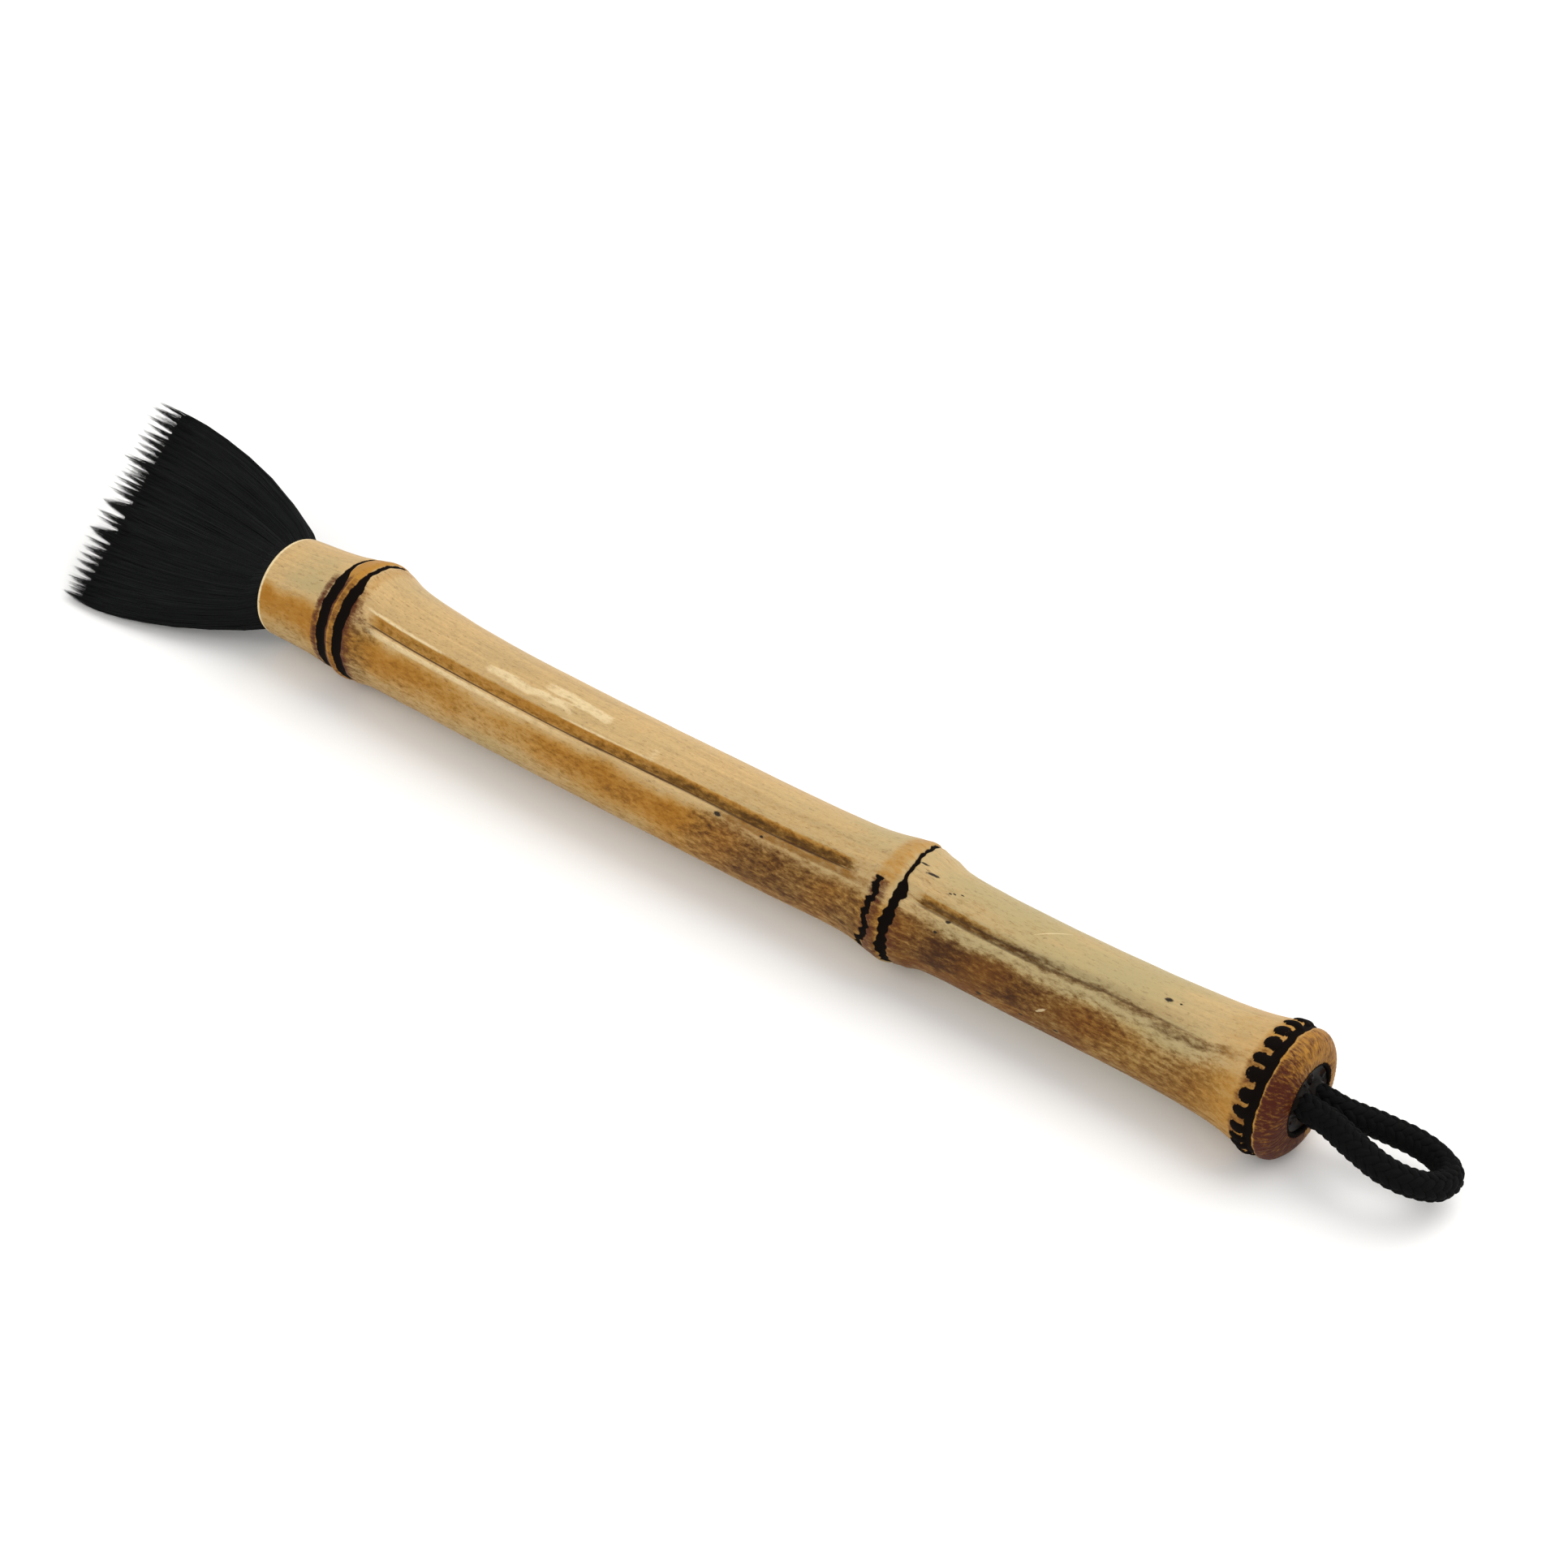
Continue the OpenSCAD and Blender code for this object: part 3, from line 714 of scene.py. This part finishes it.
def bamboo_material(settings):
    """Bamboo, cured, scorched and waxed: a semi-gloss skin with fine fibres along the culm.

    The eye sees tan to olive skin, brown smoke mottling with painted shade on the underside, pale ridges
    that are painted highlights, a crease of painted shade, amber heat bands and char.
    """
    made, tree = fresh_material("Bamboo, scorched and waxed")
    wrap = add(tree, "Attribute", attribute_name="wrap").outputs["Vector"]

    # Pattern sizes in mm: along the culm, then across it
    noises = {}
    for name, along, across, detail, rough in (
            ("fibre", 14, 0.30, 3, 0.6), ("streak", 30, 1.1, 3, 0.55), ("mottle", 1.5, 0.8, 7, 0.7),
            ("cloud", 14, 5.0, 4, 0.55), ("grain", 1.1, 0.42, 4, 0.7), ("grit", 0.5, 0.3, 3, 0.6)):
        scaled = add(tree, "Mapping", {"Vector": wrap, "Scale": (1 / along, 1 / across, 1 / across)})
        noises[name] = add(tree, "TexNoise", {"Vector": scaled.outputs[0], "Scale": 1.0,
                                              "Detail": detail, "Roughness": rough}).outputs["Fac"]

    # Light and dark fibres first, then the stains in the order they were laid, painted highlights and
    # painted
    # shade among them: each is its mask made uneven by a share of a noise and steepened between two levels
    tone = settings.skin
    for noise, low, high, dark, light, share in (("fibre", 0.3, 0.68, 0.80, 1.08, 0.5),
                                                 ("streak", 0.32, 0.66, 0.82, 1.10, 0.7),
                                                 ("mottle", 0.32, 0.68, 0.78, 1.12, 0.7),
                                                 ("grit", 0.3, 0.7, 0.84, 1.10, 0.5)):
        wash = add(tree, "ValToRGB", {0: noises[noise]})
        for element, place, level in zip(wash.color_ramp.elements, (low, high), (dark, light)):
            element.position, element.color = place, (level, level * 0.99, level * 0.96, 1)
        tone = add(tree, "Mix", {0: share, 6: tone, 7: wash.outputs[0]}, data_type="RGBA",
                   blend_type="MULTIPLY").outputs[2]
    for colour_laid, blend, name, noise, share, low, high in (
            (settings.aged_skin, "MIX", "olive", "cloud", 0.9, 0.15, 0.95),
            (settings.gold, "MIX", "gold", "mottle", 1.3, 0.15, 0.95),
            (settings.honey, "MULTIPLY", "gold", "cloud", 0.9, 0.2, 0.9),
            # pale: scrapes and the rim's edge, with painted highlights on the ridges, the lip and the rear
            # top
            (settings.cream, "MIX", "pale", "mottle", 0.9, 0.35, 1.0),
            # brown: smoke mottling, and painted shade along the underside
            (settings.brown, "MIX", "brown", "mottle", 1.7, 0.2, 1.1),
            (settings.smoke, "MULTIPLY", "smoke", "mottle", 1.6, 0.05, 1.05),
            # crease: painted shade in the bottom of the grooves
            (settings.crease, "MIX", "crease", "streak", 0.6, 0.2, 1.1),
            (settings.amber, "MIX", "amber", "mottle", 0.8, 0.1, 0.95),
            (settings.toast, "MIX", "toast", "grain", 3.0, 0.05, 1.25),
            (settings.scorch, "MIX", "scorch", "mottle", 1.4, 0.25, 0.95),
            (settings.char, "MIX", "burnt", "mottle", 1.0, 0.38, 0.72)):
        stain = add(tree, "Attribute", attribute_name=name)
        uneven = add(tree, "Math", {0: noises[noise], 1: share, 2: -0.5 * share},
                     operation="MULTIPLY_ADD")
        total = add(tree, "Math", {0: stain.outputs["Fac"], 1: uneven.outputs[0]}, operation="ADD")
        steep = add(tree, "MapRange", {"Value": total.outputs[0], "From Min": low, "From Max": high},
                    interpolation_type="SMOOTHSTEP")
        tone = add(tree, "Mix", {0: steep.outputs[0], 6: tone, 7: colour_laid}, data_type="RGBA",
                   blend_type=blend).outputs[2]

    for along, around, half_long, half_side, lean, pale in SKIN_MARKS:
        angle = math.radians(around)
        centre = (along, WRAP_R * math.sin(angle), WRAP_R * math.cos(angle))
        local = add(tree, "VectorMath", {0: wrap, 1: centre}, operation="SUBTRACT")
        turned = add(tree, "VectorRotate", {"Vector": local.outputs[0], "Angle": angle},
                     rotation_type="X_AXIS")
        leaned = add(tree, "VectorRotate", {"Vector": turned.outputs[0], "Angle": lean},
                     rotation_type="Z_AXIS")
        sized = add(tree, "VectorMath", {0: leaned.outputs[0], 1: (1 / half_long, 1 / half_side, 0.5)},
                    operation="MULTIPLY")
        away = add(tree, "VectorMath", {0: sized.outputs[0]}, operation="LENGTH")
        rough = add(tree, "Math", {0: noises["grit"], 1: 0.9, 2: away.outputs["Value"]},
                    operation="MULTIPLY_ADD")
        inside = add(tree, "MapRange", {"Value": rough.outputs[0], "From Min": 1.65, "From Max": 1.15,
                                        "To Max": 0.6 if pale else 0.95})
        mark = settings.cream if pale else settings.char
        tone = add(tree, "Mix", {0: inside.outputs[0], 6: tone, 7: mark}, data_type="RGBA").outputs[2]

    charred = steep.outputs[0]
    polish = add(tree, "MapRange", {"Value": noises["mottle"], "From Min": 0.3, "From Max": 0.7,
                                    "To Min": 0.40, "To Max": 0.56})
    dull = add(tree, "Math", {0: charred, 1: 0.25, 2: polish.outputs[0]}, operation="MULTIPLY_ADD")
    fine = add(tree, "Bump", {"Height": noises["fibre"], "Distance": 0.00004, "Strength": 0.5})
    pitted = add(tree, "Bump", {"Height": noises["mottle"], "Distance": 0.00010, "Strength": 0.35,
                                "Normal": fine.outputs[0]})
    skin = add(tree, "BsdfPrincipled", {
        "Base Color": tone, "Roughness": dull.outputs[0], "Normal": pitted.outputs[0],
        "IOR": 1.48, "Specular IOR Level": 0.14})
    soot = add(tree, "BsdfPrincipled", {
        "Base Color": tone, "Roughness": 0.85, "Normal": pitted.outputs[0], "Specular IOR Level": 0.04})
    surface = add(tree, "MixShader", {0: charred, 1: skin.outputs[0], 2: soot.outputs[0]})
    return surfaced(made, surface)


def hair_material(settings):
    """Horse hair, dyed black: dense, nearly matt, with a faint sheen that differs from hair to hair."""
    made, tree = fresh_material("Horse hair, dyed black")
    strand = add(tree, "Attribute", attribute_name="strand")
    place = add(tree, "TexCoord")
    scaled = add(tree, "Mapping", {"Vector": place.outputs["Object"], "Scale": (60, 900, 900)})
    streak = add(tree, "TexNoise", {"Vector": scaled.outputs[0], "Scale": 1.0, "Detail": 3.0})
    both = add(tree, "Math", {0: strand.outputs["Fac"], 1: streak.outputs["Fac"]}, operation="MULTIPLY")
    tone = add(tree, "Mix", {0: both.outputs[0], 6: settings.dark, 7: settings.light}, data_type="RGBA")
    surface = add(tree, "BsdfPrincipled", {
        "Base Color": tone.outputs[2], "Roughness": 0.7, "IOR": 1.45, "Specular IOR Level": 0.1})
    return surfaced(made, surface)


def cord_material(settings):
    """Polyester yarn, dyed black and braided: matt, with fine filaments along each yarn."""
    made, tree = fresh_material("Polyester braid, black")
    along = add(tree, "Attribute", attribute_name="yarn")
    scaled = add(tree, "Mapping", {"Vector": along.outputs["Vector"], "Scale": (0.5, 9, 9)})
    filament = add(tree, "TexNoise", {"Vector": scaled.outputs[0], "Scale": 1.0, "Detail": 3.0})
    lift = add(tree, "MapRange", {"Value": filament.outputs["Fac"], "To Min": 0.5, "To Max": 1.6})
    tone = add(tree, "Mix", {0: 1.0, 6: settings.cord, 7: lift.outputs[0]}, data_type="RGBA",
               blend_type="MULTIPLY")
    bump = add(tree, "Bump", {"Height": filament.outputs["Fac"], "Distance": 0.00005, "Strength": 0.5})
    surface = add(tree, "BsdfPrincipled", {
        "Base Color": tone.outputs[2], "Roughness": 0.85, "IOR": 1.5, "Specular IOR Level": 0.06,
        "Normal": bump.outputs[0]})
    return surfaced(made, surface)


def resin_material(settings):
    """Set resin, dark brown and glossy, with bubbles: sharp small glints and browner thin spots."""
    made, tree = fresh_material("Set resin, dark brown")
    place = add(tree, "TexCoord")
    cloud = add(tree, "TexNoise", {"Vector": place.outputs["Object"], "Scale": 900.0, "Detail": 5.0})
    away = add(tree, "Attribute", attribute_name="thin")
    shown = add(tree, "MapRange", {"Value": cloud.outputs["Fac"], "From Min": 0.5, "From Max": 0.72})
    thin = add(tree, "Math", {0: shown.outputs[0], 1: away.outputs["Fac"]}, operation="MULTIPLY")
    tone = add(tree, "Mix", {0: thin.outputs[0], 6: settings.resin, 7: settings.thin_resin},
               data_type="RGBA")
    gloss = add(tree, "MapRange", {"Value": cloud.outputs["Fac"], "To Min": 0.22, "To Max": 0.5})
    surface = add(tree, "BsdfPrincipled", {
        "Base Color": tone.outputs[2], "Roughness": gloss.outputs[0], "IOR": 1.54,
        "Specular IOR Level": 0.05})
    return surfaced(made, surface)


def inner_material(name, light, dark, size_mm, roughness, stretch=1.0):
    """A hidden fitting's finish: two tones of its colour in grain of the given size."""
    made, tree = fresh_material(name)
    place = add(tree, "TexCoord")
    scale = 1000 / size_mm
    scaled = add(tree, "Mapping", {"Vector": place.outputs["Object"],
                                   "Scale": (scale / stretch, scale, scale)})
    grain = add(tree, "TexNoise", {"Vector": scaled.outputs[0], "Scale": 1.0, "Detail": 5.0})
    tone = add(tree, "Mix", {0: grain.outputs["Fac"], 6: srgb(dark), 7: srgb(light)}, data_type="RGBA")
    bump = add(tree, "Bump", {"Height": grain.outputs["Fac"], "Distance": 0.00008, "Strength": 0.6})
    surface = add(tree, "BsdfPrincipled", {
        "Base Color": tone.outputs[2], "Roughness": roughness, "Normal": bump.outputs[0]})
    return surfaced(made, surface)


def dress(obj, material):
    """Gives a piece its one material."""
    obj.data.materials.clear()
    obj.data.materials.append(material)


# ---- operators ----

CAMERA_PLACE = (0.25365, -0.28293, 0.29716)  # metres
CAMERA_BACK = (0.49254823, -0.61921799, 0.61152704)  # from the brush towards the lens


class BRUSH_OT_stage(bpy.types.Operator):
    """Set up the camera, the pale table and the soft lights"""
    bl_idname = "brush.stage"
    bl_label = "Stage"

    def execute(self, context):
        settings = context.scene.brush_stage
        lens = bpy.data.cameras.new("Camera")
        lens.lens, lens.sensor_width = 75, 36
        lens.clip_start, lens.clip_end = 0.02, 20
        camera = bpy.data.objects.new("Camera", lens)
        camera.location = CAMERA_PLACE
        camera.rotation_mode = "QUATERNION"
        camera.rotation_quaternion = (-Vector(CAMERA_BACK)).to_track_quat("-Z", "Y")
        context.collection.objects.link(camera)
        context.scene.camera = camera

        bpy.ops.object.select_all(action="DESELECT")
        bpy.ops.mesh.primitive_grid_add(x_subdivisions=8, y_subdivisions=8, size=6)
        floor = context.object
        floor.name = "Table"
        made, tree = fresh_material("Table, matt white")
        paper = add(tree, "TexNoise", {"Scale": 400.0, "Detail": 3.0})
        even = add(tree, "MapRange", {"Value": paper.outputs["Fac"], "To Min": 0.85, "To Max": 0.9})
        surface = add(tree, "BsdfPrincipled", {
            "Base Color": settings.floor, "Roughness": even.outputs[0], "Specular IOR Level": 0.1})
        dress(floor, surfaced(made, surface))

        world = bpy.data.worlds.new("Studio")
        world.use_nodes = True
        sky = world.node_tree.nodes["Background"]
        sky.inputs["Color"].default_value = srgb("#ffffff")
        sky.inputs["Strength"].default_value = settings.sky
        context.scene.world = world
        for name, place, size, energy in (
                ("Key", (0.35, 0.45, 0.75), 1.1, settings.key_energy),
                ("Fill", (-0.2, -0.7, 0.5), 0.9, settings.fill_energy)):
            lamp = bpy.data.lights.new(name, "AREA")
            lamp.shape, lamp.size, lamp.energy = "DISK", size, energy
            light = bpy.data.objects.new(name, lamp)
            light.location = place
            light.rotation_mode = "QUATERNION"
            light.rotation_quaternion = (-Vector(place)).to_track_quat("-Z", "Y")
            context.collection.objects.link(light)
        context.scene.view_settings.view_transform = "Standard"
        return {"FINISHED"}


def loop_centreline(step):
    """The cord's centre line as even points in mm, with its tangents, lifts and sides."""
    knots = np.array(LOOP_ROUTE)
    resin = RIM_X + RESIN_X - 0.15  # just under the resin's face
    knots = np.vstack([[resin - 2, *knots[0][1:]], [resin, *knots[0][1:]], knots,
                       [resin, *knots[-1][1:]], [resin - 2, *knots[-1][1:]]])
    spans = []
    for p0, p1, p2, p3 in zip(knots, knots[1:], knots[2:], knots[3:]):
        t = np.linspace(0, 1, 24, endpoint=False)[:, None]  # points in each span
        spans.append(0.5 * (2 * p1 + (p2 - p0) * t + (2 * p0 - 5 * p1 + 4 * p2 - p3) * t ** 2
                            + (3 * p1 - p0 - 3 * p2 + p3) * t ** 3))
    line = np.vstack(spans + [knots[-2][None, :]])
    for _ in range(30):  # smoothing passes
        line[1:-1] = 0.5 * line[1:-1] + 0.25 * (line[:-2] + line[2:])
    run = np.concatenate([[0], np.cumsum(np.linalg.norm(np.diff(line, axis=0), axis=1))])
    count = int(round(run[-1] / step)) + 1
    even = np.linspace(0, run[-1], count)
    centre = np.stack([np.interp(even, run, line[:, k]) for k in range(3)], axis=1)
    way = np.gradient(centre, axis=0)
    way /= np.linalg.norm(way, axis=1)[:, None]
    flat = np.array([0, math.sin(LOOP_ROLL), math.cos(LOOP_ROLL)])
    lift = flat - (way @ flat)[:, None] * way
    lift /= np.linalg.norm(lift, axis=1)[:, None]
    return even, centre, way, lift, np.cross(way, lift)


def tube_for(name, sides, run):
    """A closed straight tube with a ring for each place of the run, each point's ring and angle."""
    tube = extruded(name, sides, [(x, 0, 0, 1.0) for x in run])
    close_ends(tube, sides)
    shape = points_of(tube)
    ring = np.clip(np.round(shape[:, 0] / (run[1] - run[0])).astype(int), 0, len(run) - 1)
    return tube, ring, np.arctan2(shape[:, 2], shape[:, 1])


class BRUSH_OT_hanging_loop(bpy.types.Operator):
    """Braid the hanging loop: sixteen yarns laid two over, two under along its route"""
    bl_idname = "brush.hanging_loop"
    bl_label = "Hanging loop"

    def execute(self, context):
        settings = context.scene.brush_loop
        run, centre, way, lift, side = loop_centreline(0.34)
        yarn, ring, turn = tube_for("cord_yarn", 8, run)
        pitch, yarns = settings.pitch / MM, settings.yarns
        radius = settings.cord_diameter / MM / 2
        crossing = pitch / (2 * yarns)
        slope = math.atan2(2 * math.pi * radius * 0.8, pitch)
        # Shares of the cord's radius: where the yarns lie, how far they weave, their half width, their
        # half thickness, and the core under them
        depth, weave, half_side, half_thick, inner = (radius * k for k in (0.765, 0.095, 0.30, 0.135, 0.7))
        made = []
        for way_round in (1, -1):
            for k in range(yarns):
                copy = yarn.copy()
                copy.data = yarn.data.copy()
                context.collection.objects.link(copy)
                angle = way_round * 2 * math.pi * run / pitch + 2 * math.pi * k / yarns
                over = way_round * np.cos(math.pi / 2 * (run / crossing + way_round * (2 * k - 0.5)))
                rise = (depth + weave * over)[:, None]
                out = np.cos(angle)[:, None] * lift + np.sin(angle)[:, None] * side
                tangent = -np.sin(angle)[:, None] * lift + np.cos(angle)[:, None] * side
                across = math.cos(slope) * tangent - way_round * math.sin(slope) * way
                spread = half_side * np.cos(turn)
                bowed = half_thick * np.sin(turn) - (spread * math.cos(slope)) ** 2 / (1.5 * radius)
                points = (centre[ring] + rise[ring] * out[ring] + spread[:, None] * across[ring]
                          + bowed[:, None] * out[ring])
                place_points(copy, points)
                keep(copy, "yarn", np.stack([run[ring] + 20 * k, np.cos(turn) * 0.5 + k,
                                             np.sin(turn) * 0.5], axis=1))
                made.append(copy)
        core, ring, turn = tube_for("hanging_loop_cord", 14, run)
        outwards = np.cos(turn)[:, None] * lift[ring] + np.sin(turn)[:, None] * side[ring]
        place_points(core, centre[ring] + inner * outwards)
        keep(core, "yarn", np.stack([run[ring], turn, turn * 0], axis=1))
        bpy.data.objects.remove(yarn)
        bpy.ops.object.select_all(action="DESELECT")
        for piece in made + [core]:
            piece.select_set(True)
        context.view_layer.objects.active = core
        bpy.ops.object.join()
        face_outwards()
        shade_smooth(core)
        dress(core, cord_material(settings))
        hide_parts("hanging_loop")
        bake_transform(core)
        return {"FINISHED"}


class BRUSH_OT_culm(bpy.types.Operator):
    """Shape the bamboo handle: socket, nodes, grooves, root scars and toasted root end"""
    bl_idname = "brush.culm"
    bl_label = "Bamboo culm"

    def execute(self, context):
        settings = context.scene.brush_culm
        rings, sides = culm_rings(), 56
        culm = extruded("bamboo_culm_shaped", sides, [ring[:4] for ring in rings])
        close_ends(culm, sides)
        keep(culm, "along", np.repeat([ring[4] for ring in rings], sides))
        finish_with(culm, "SUBSURF", levels=2, render_levels=2)
        points, along = points_of(culm), read(culm, "along")
        x = np.clip(points[:, 0] - RIM_X, 0, CULM_LEN)
        over = smooth(DOME_START, HOLE_SIDE, along)
        centre_y = culm_y(x) + (HOLE_Y - culm_y(x)) * over
        centre_z = culm_z(x) + (HOLE_Z - culm_z(x)) * over
        around = np.degrees(np.arctan2(-(points[:, 1] - centre_y), points[:, 2] - centre_z))
        normals = np.empty(len(points) * 3, np.float32)
        culm.data.vertices.foreach_get("normal", normals)
        relief = culm_relief(along, around, settings)
        points = points + normals.reshape(-1, 3) * relief[:, None]
        points[:, 2] = np.maximum(points[:, 2], TABLE_GAP)
        place_points(culm, points)
        for name, values in culm_stains(along, around, settings).items():
            keep(culm, name, values)
        angle = np.radians(around)
        keep(culm, "wrap", np.stack([along, WRAP_R * np.sin(angle), WRAP_R * np.cos(angle)], axis=1))
        shade_smooth(culm)
        dress(culm, bamboo_material(settings))
        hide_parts("bamboo_culm")
        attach(culm, "handle")
        return {"FINISHED"}


class BRUSH_OT_resin(bpy.types.Operator):
    """Fill the pith hole with dark resin that climbs the cord and the wall and holds bubbles"""
    bl_idname = "brush.resin"
    bl_label = "Butt resin"

    def execute(self, context):
        settings = context.scene.brush_resin
        front, sides = RIM_X + RESIN_X, 144
        wall = HOLE_R + 0.01
        rings = [(RIM_X + RESIN_END_X, HOLE_Y, HOLE_Z, wall), (front - 0.6, HOLE_Y, HOLE_Z, wall)]
        rings += [(front, HOLE_Y, HOLE_Z, (HOLE_R + 0.03) * (1 - k / 40)) for k in range(40)]
        resin = extruded("butt_resin_fill", sides, rings)
        close_ends(resin, sides)
        points = points_of(resin)
        y, z = points[:, 1] - HOLE_Y, points[:, 2] - HOLE_Z
        face = points[:, 0] > front - 0.01
        radius = np.hypot(y, z)
        rise = 0.55 * np.exp(-(HOLE_R - radius) / 0.45)
        thin = np.ones(len(points))
        # A meniscus up each strand, which is sunk 0.1 mm into it; the resin is thin only away from them
        for way in (-1, 1):
            strand = np.hypot(y - way * STRAND_OFFSET * math.cos(LOOP_ROLL),
                              z + way * STRAND_OFFSET * math.sin(LOOP_ROLL)) - 1.9
            rise = rise + 1.2 * np.exp(-np.clip(strand, 0, None) / 0.6)
            thin = np.minimum(thin, smooth(0.2, 1.3, strand))
        # Every third bubble has burst and left a pit with a rim
        rng = np.random.default_rng(8)
        for k in range(settings.bubbles):
            angle, reach, size = rng.uniform(0, 6.28), rng.uniform(2.1, 4.35), rng.uniform(0.22, 0.62)
            away = np.hypot(y - reach * math.cos(angle), z - reach * math.sin(angle))
            dome = np.sqrt(np.clip(size ** 2 - away ** 2, 0, None))
            burst = (0.16 * hump(away, size * 0.95, size * 0.2)
                     - 0.5 * size * (1 - smooth(0.3, 0.9, away / size)))
            rise = rise + (0.55 * dome if k % 3 else burst * (away < 1.6 * size))
        points[:, 0] += np.where(face, rise, 0)
        place_points(resin, points)
        keep(resin, "thin", thin)
        shade_smooth(resin)
        dress(resin, resin_material(settings))
        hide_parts("butt_resin")
        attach(resin, "handle")
        return {"FINISHED"}


class BRUSH_OT_hair(bpy.types.Operator):
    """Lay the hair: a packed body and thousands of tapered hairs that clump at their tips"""
    bl_idname = "brush.hair"
    bl_label = "Hair"

    def execute(self, context):
        settings = context.scene.brush_hair
        material = hair_material(settings)
        body = extruded("hair_packed_body", 72, [(s, 0, 0, 1.0) for s in (
            -1.5, -0.6, 0.3, 1.2, 2.2, 3.4, 5, 7.5, 10.5, 14, 18, 22, 26, 30, 33.5, 36, 37)])
        close_ends(body, 72)
        shape = points_of(body)
        s, turn = shape[:, 0], np.arctan2(shape[:, 2], shape[:, 1])
        end = 1 - 0.75 * smooth(31, 37, s)
        share = np.cos(turn)
        v = share * (fan_half_w(s) - 0.4)
        t = np.sign(np.round(np.sin(turn), 6)) * (fan_surface(s, share) * 0.82 - 0.12) * end
        place_points(body, fan_place(s, v, t))
        face_outwards()
        keep(body, "strand", np.full(len(s), 0.1))
        shade_smooth(body)
        rng = np.random.default_rng(2)
        count = settings.hair_count
        layers = []
        for name, sign in (("hair_laid_front", 1), ("hair_laid_back", -1)):
            share = np.linspace(-1, 1, count) + rng.uniform(-0.6, 0.6, count) / count
            share = np.clip(share + rng.normal(0, 0.004, count), -1, 1)
            layer = sign * (1 - 0.85 * rng.random(count) ** 2.2)
            layers.append(make_hairs(name, settings, share, layer, 40 + sign))
        for piece, node in zip([body] + layers, ("hair_core", "mantle_hair_front", "mantle_hair_back")):
            dress(piece, material)
            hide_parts(node)
            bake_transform(piece)
        return {"FINISHED"}


class BRUSH_OT_socket_fittings(bpy.types.Operator):
    """Finish the hidden fittings: hair root, binding thread, rosin, glue and the cord's glued ends"""
    bl_idname = "brush.socket_fittings"
    bl_label = "Hidden fittings"

    def execute(self, context):
        for node, made in (
                ("hair_root", inner_material("Horse hair, glued", "#1c1e1d", "#0c0d0d", 0.2, 0.6, 20)),
                ("root_binding_thread",
                 inner_material("Linen thread, waxed", "#e0d3b0", "#b9a87e", 0.3, 0.75)),
                ("rosin_seal", inner_material("Rosin, burnt", "#7a4416", "#2c1608", 1.2, 0.25)),
                ("socket_glue", inner_material("Hide glue, amber", "#b57a2a", "#7d4c12", 1.5, 0.3)),
                ("cord_tails", inner_material("Polyester braid, glued", "#1b1b1b", "#0b0b0b", 0.4, 0.6, 3))):
            dress(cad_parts[node], made)
        return {"FINISHED"}


class BRUSH_PT_panel(bpy.types.Panel):
    """The brush's pieces in the order they are made"""
    bl_idname = "BRUSH_PT_panel"
    bl_label = "Calligraphy Brush"
    bl_space_type = "VIEW_3D"
    bl_region_type = "UI"
    bl_category = "Brush"

    def draw(self, context):
        for operator in OPERATORS:
            self.layout.operator(operator.bl_idname)
        for group in GROUPS:
            box = self.layout.box()
            settings = getattr(context.scene, group)
            for key in GROUPS[group].__annotations__:
                box.prop(settings, key)


GROUPS = {"brush_culm": CulmSettings, "brush_hair": HairSettings, "brush_loop": LoopSettings,
          "brush_resin": ResinSettings, "brush_stage": StageSettings}
OPERATORS = (BRUSH_OT_stage, BRUSH_OT_hanging_loop, BRUSH_OT_culm, BRUSH_OT_resin, BRUSH_OT_hair,
             BRUSH_OT_socket_fittings)


def register():
    for cls in (*GROUPS.values(), *OPERATORS, BRUSH_PT_panel):
        bpy.utils.register_class(cls)
    for name, cls in GROUPS.items():
        setattr(bpy.types.Scene, name, bpy.props.PointerProperty(type=cls))


def unregister():
    for name in GROUPS:
        delattr(bpy.types.Scene, name)
    for cls in reversed((*GROUPS.values(), *OPERATORS, BRUSH_PT_panel)):
        bpy.utils.unregister_class(cls)


def main():
    register()
    bpy.ops.brush.stage()
    bpy.ops.brush.hanging_loop()
    bpy.ops.brush.culm()
    bpy.ops.brush.resin()
    bpy.ops.brush.hair()
    bpy.ops.brush.socket_fittings()


if __name__ == "__main__":
    main()
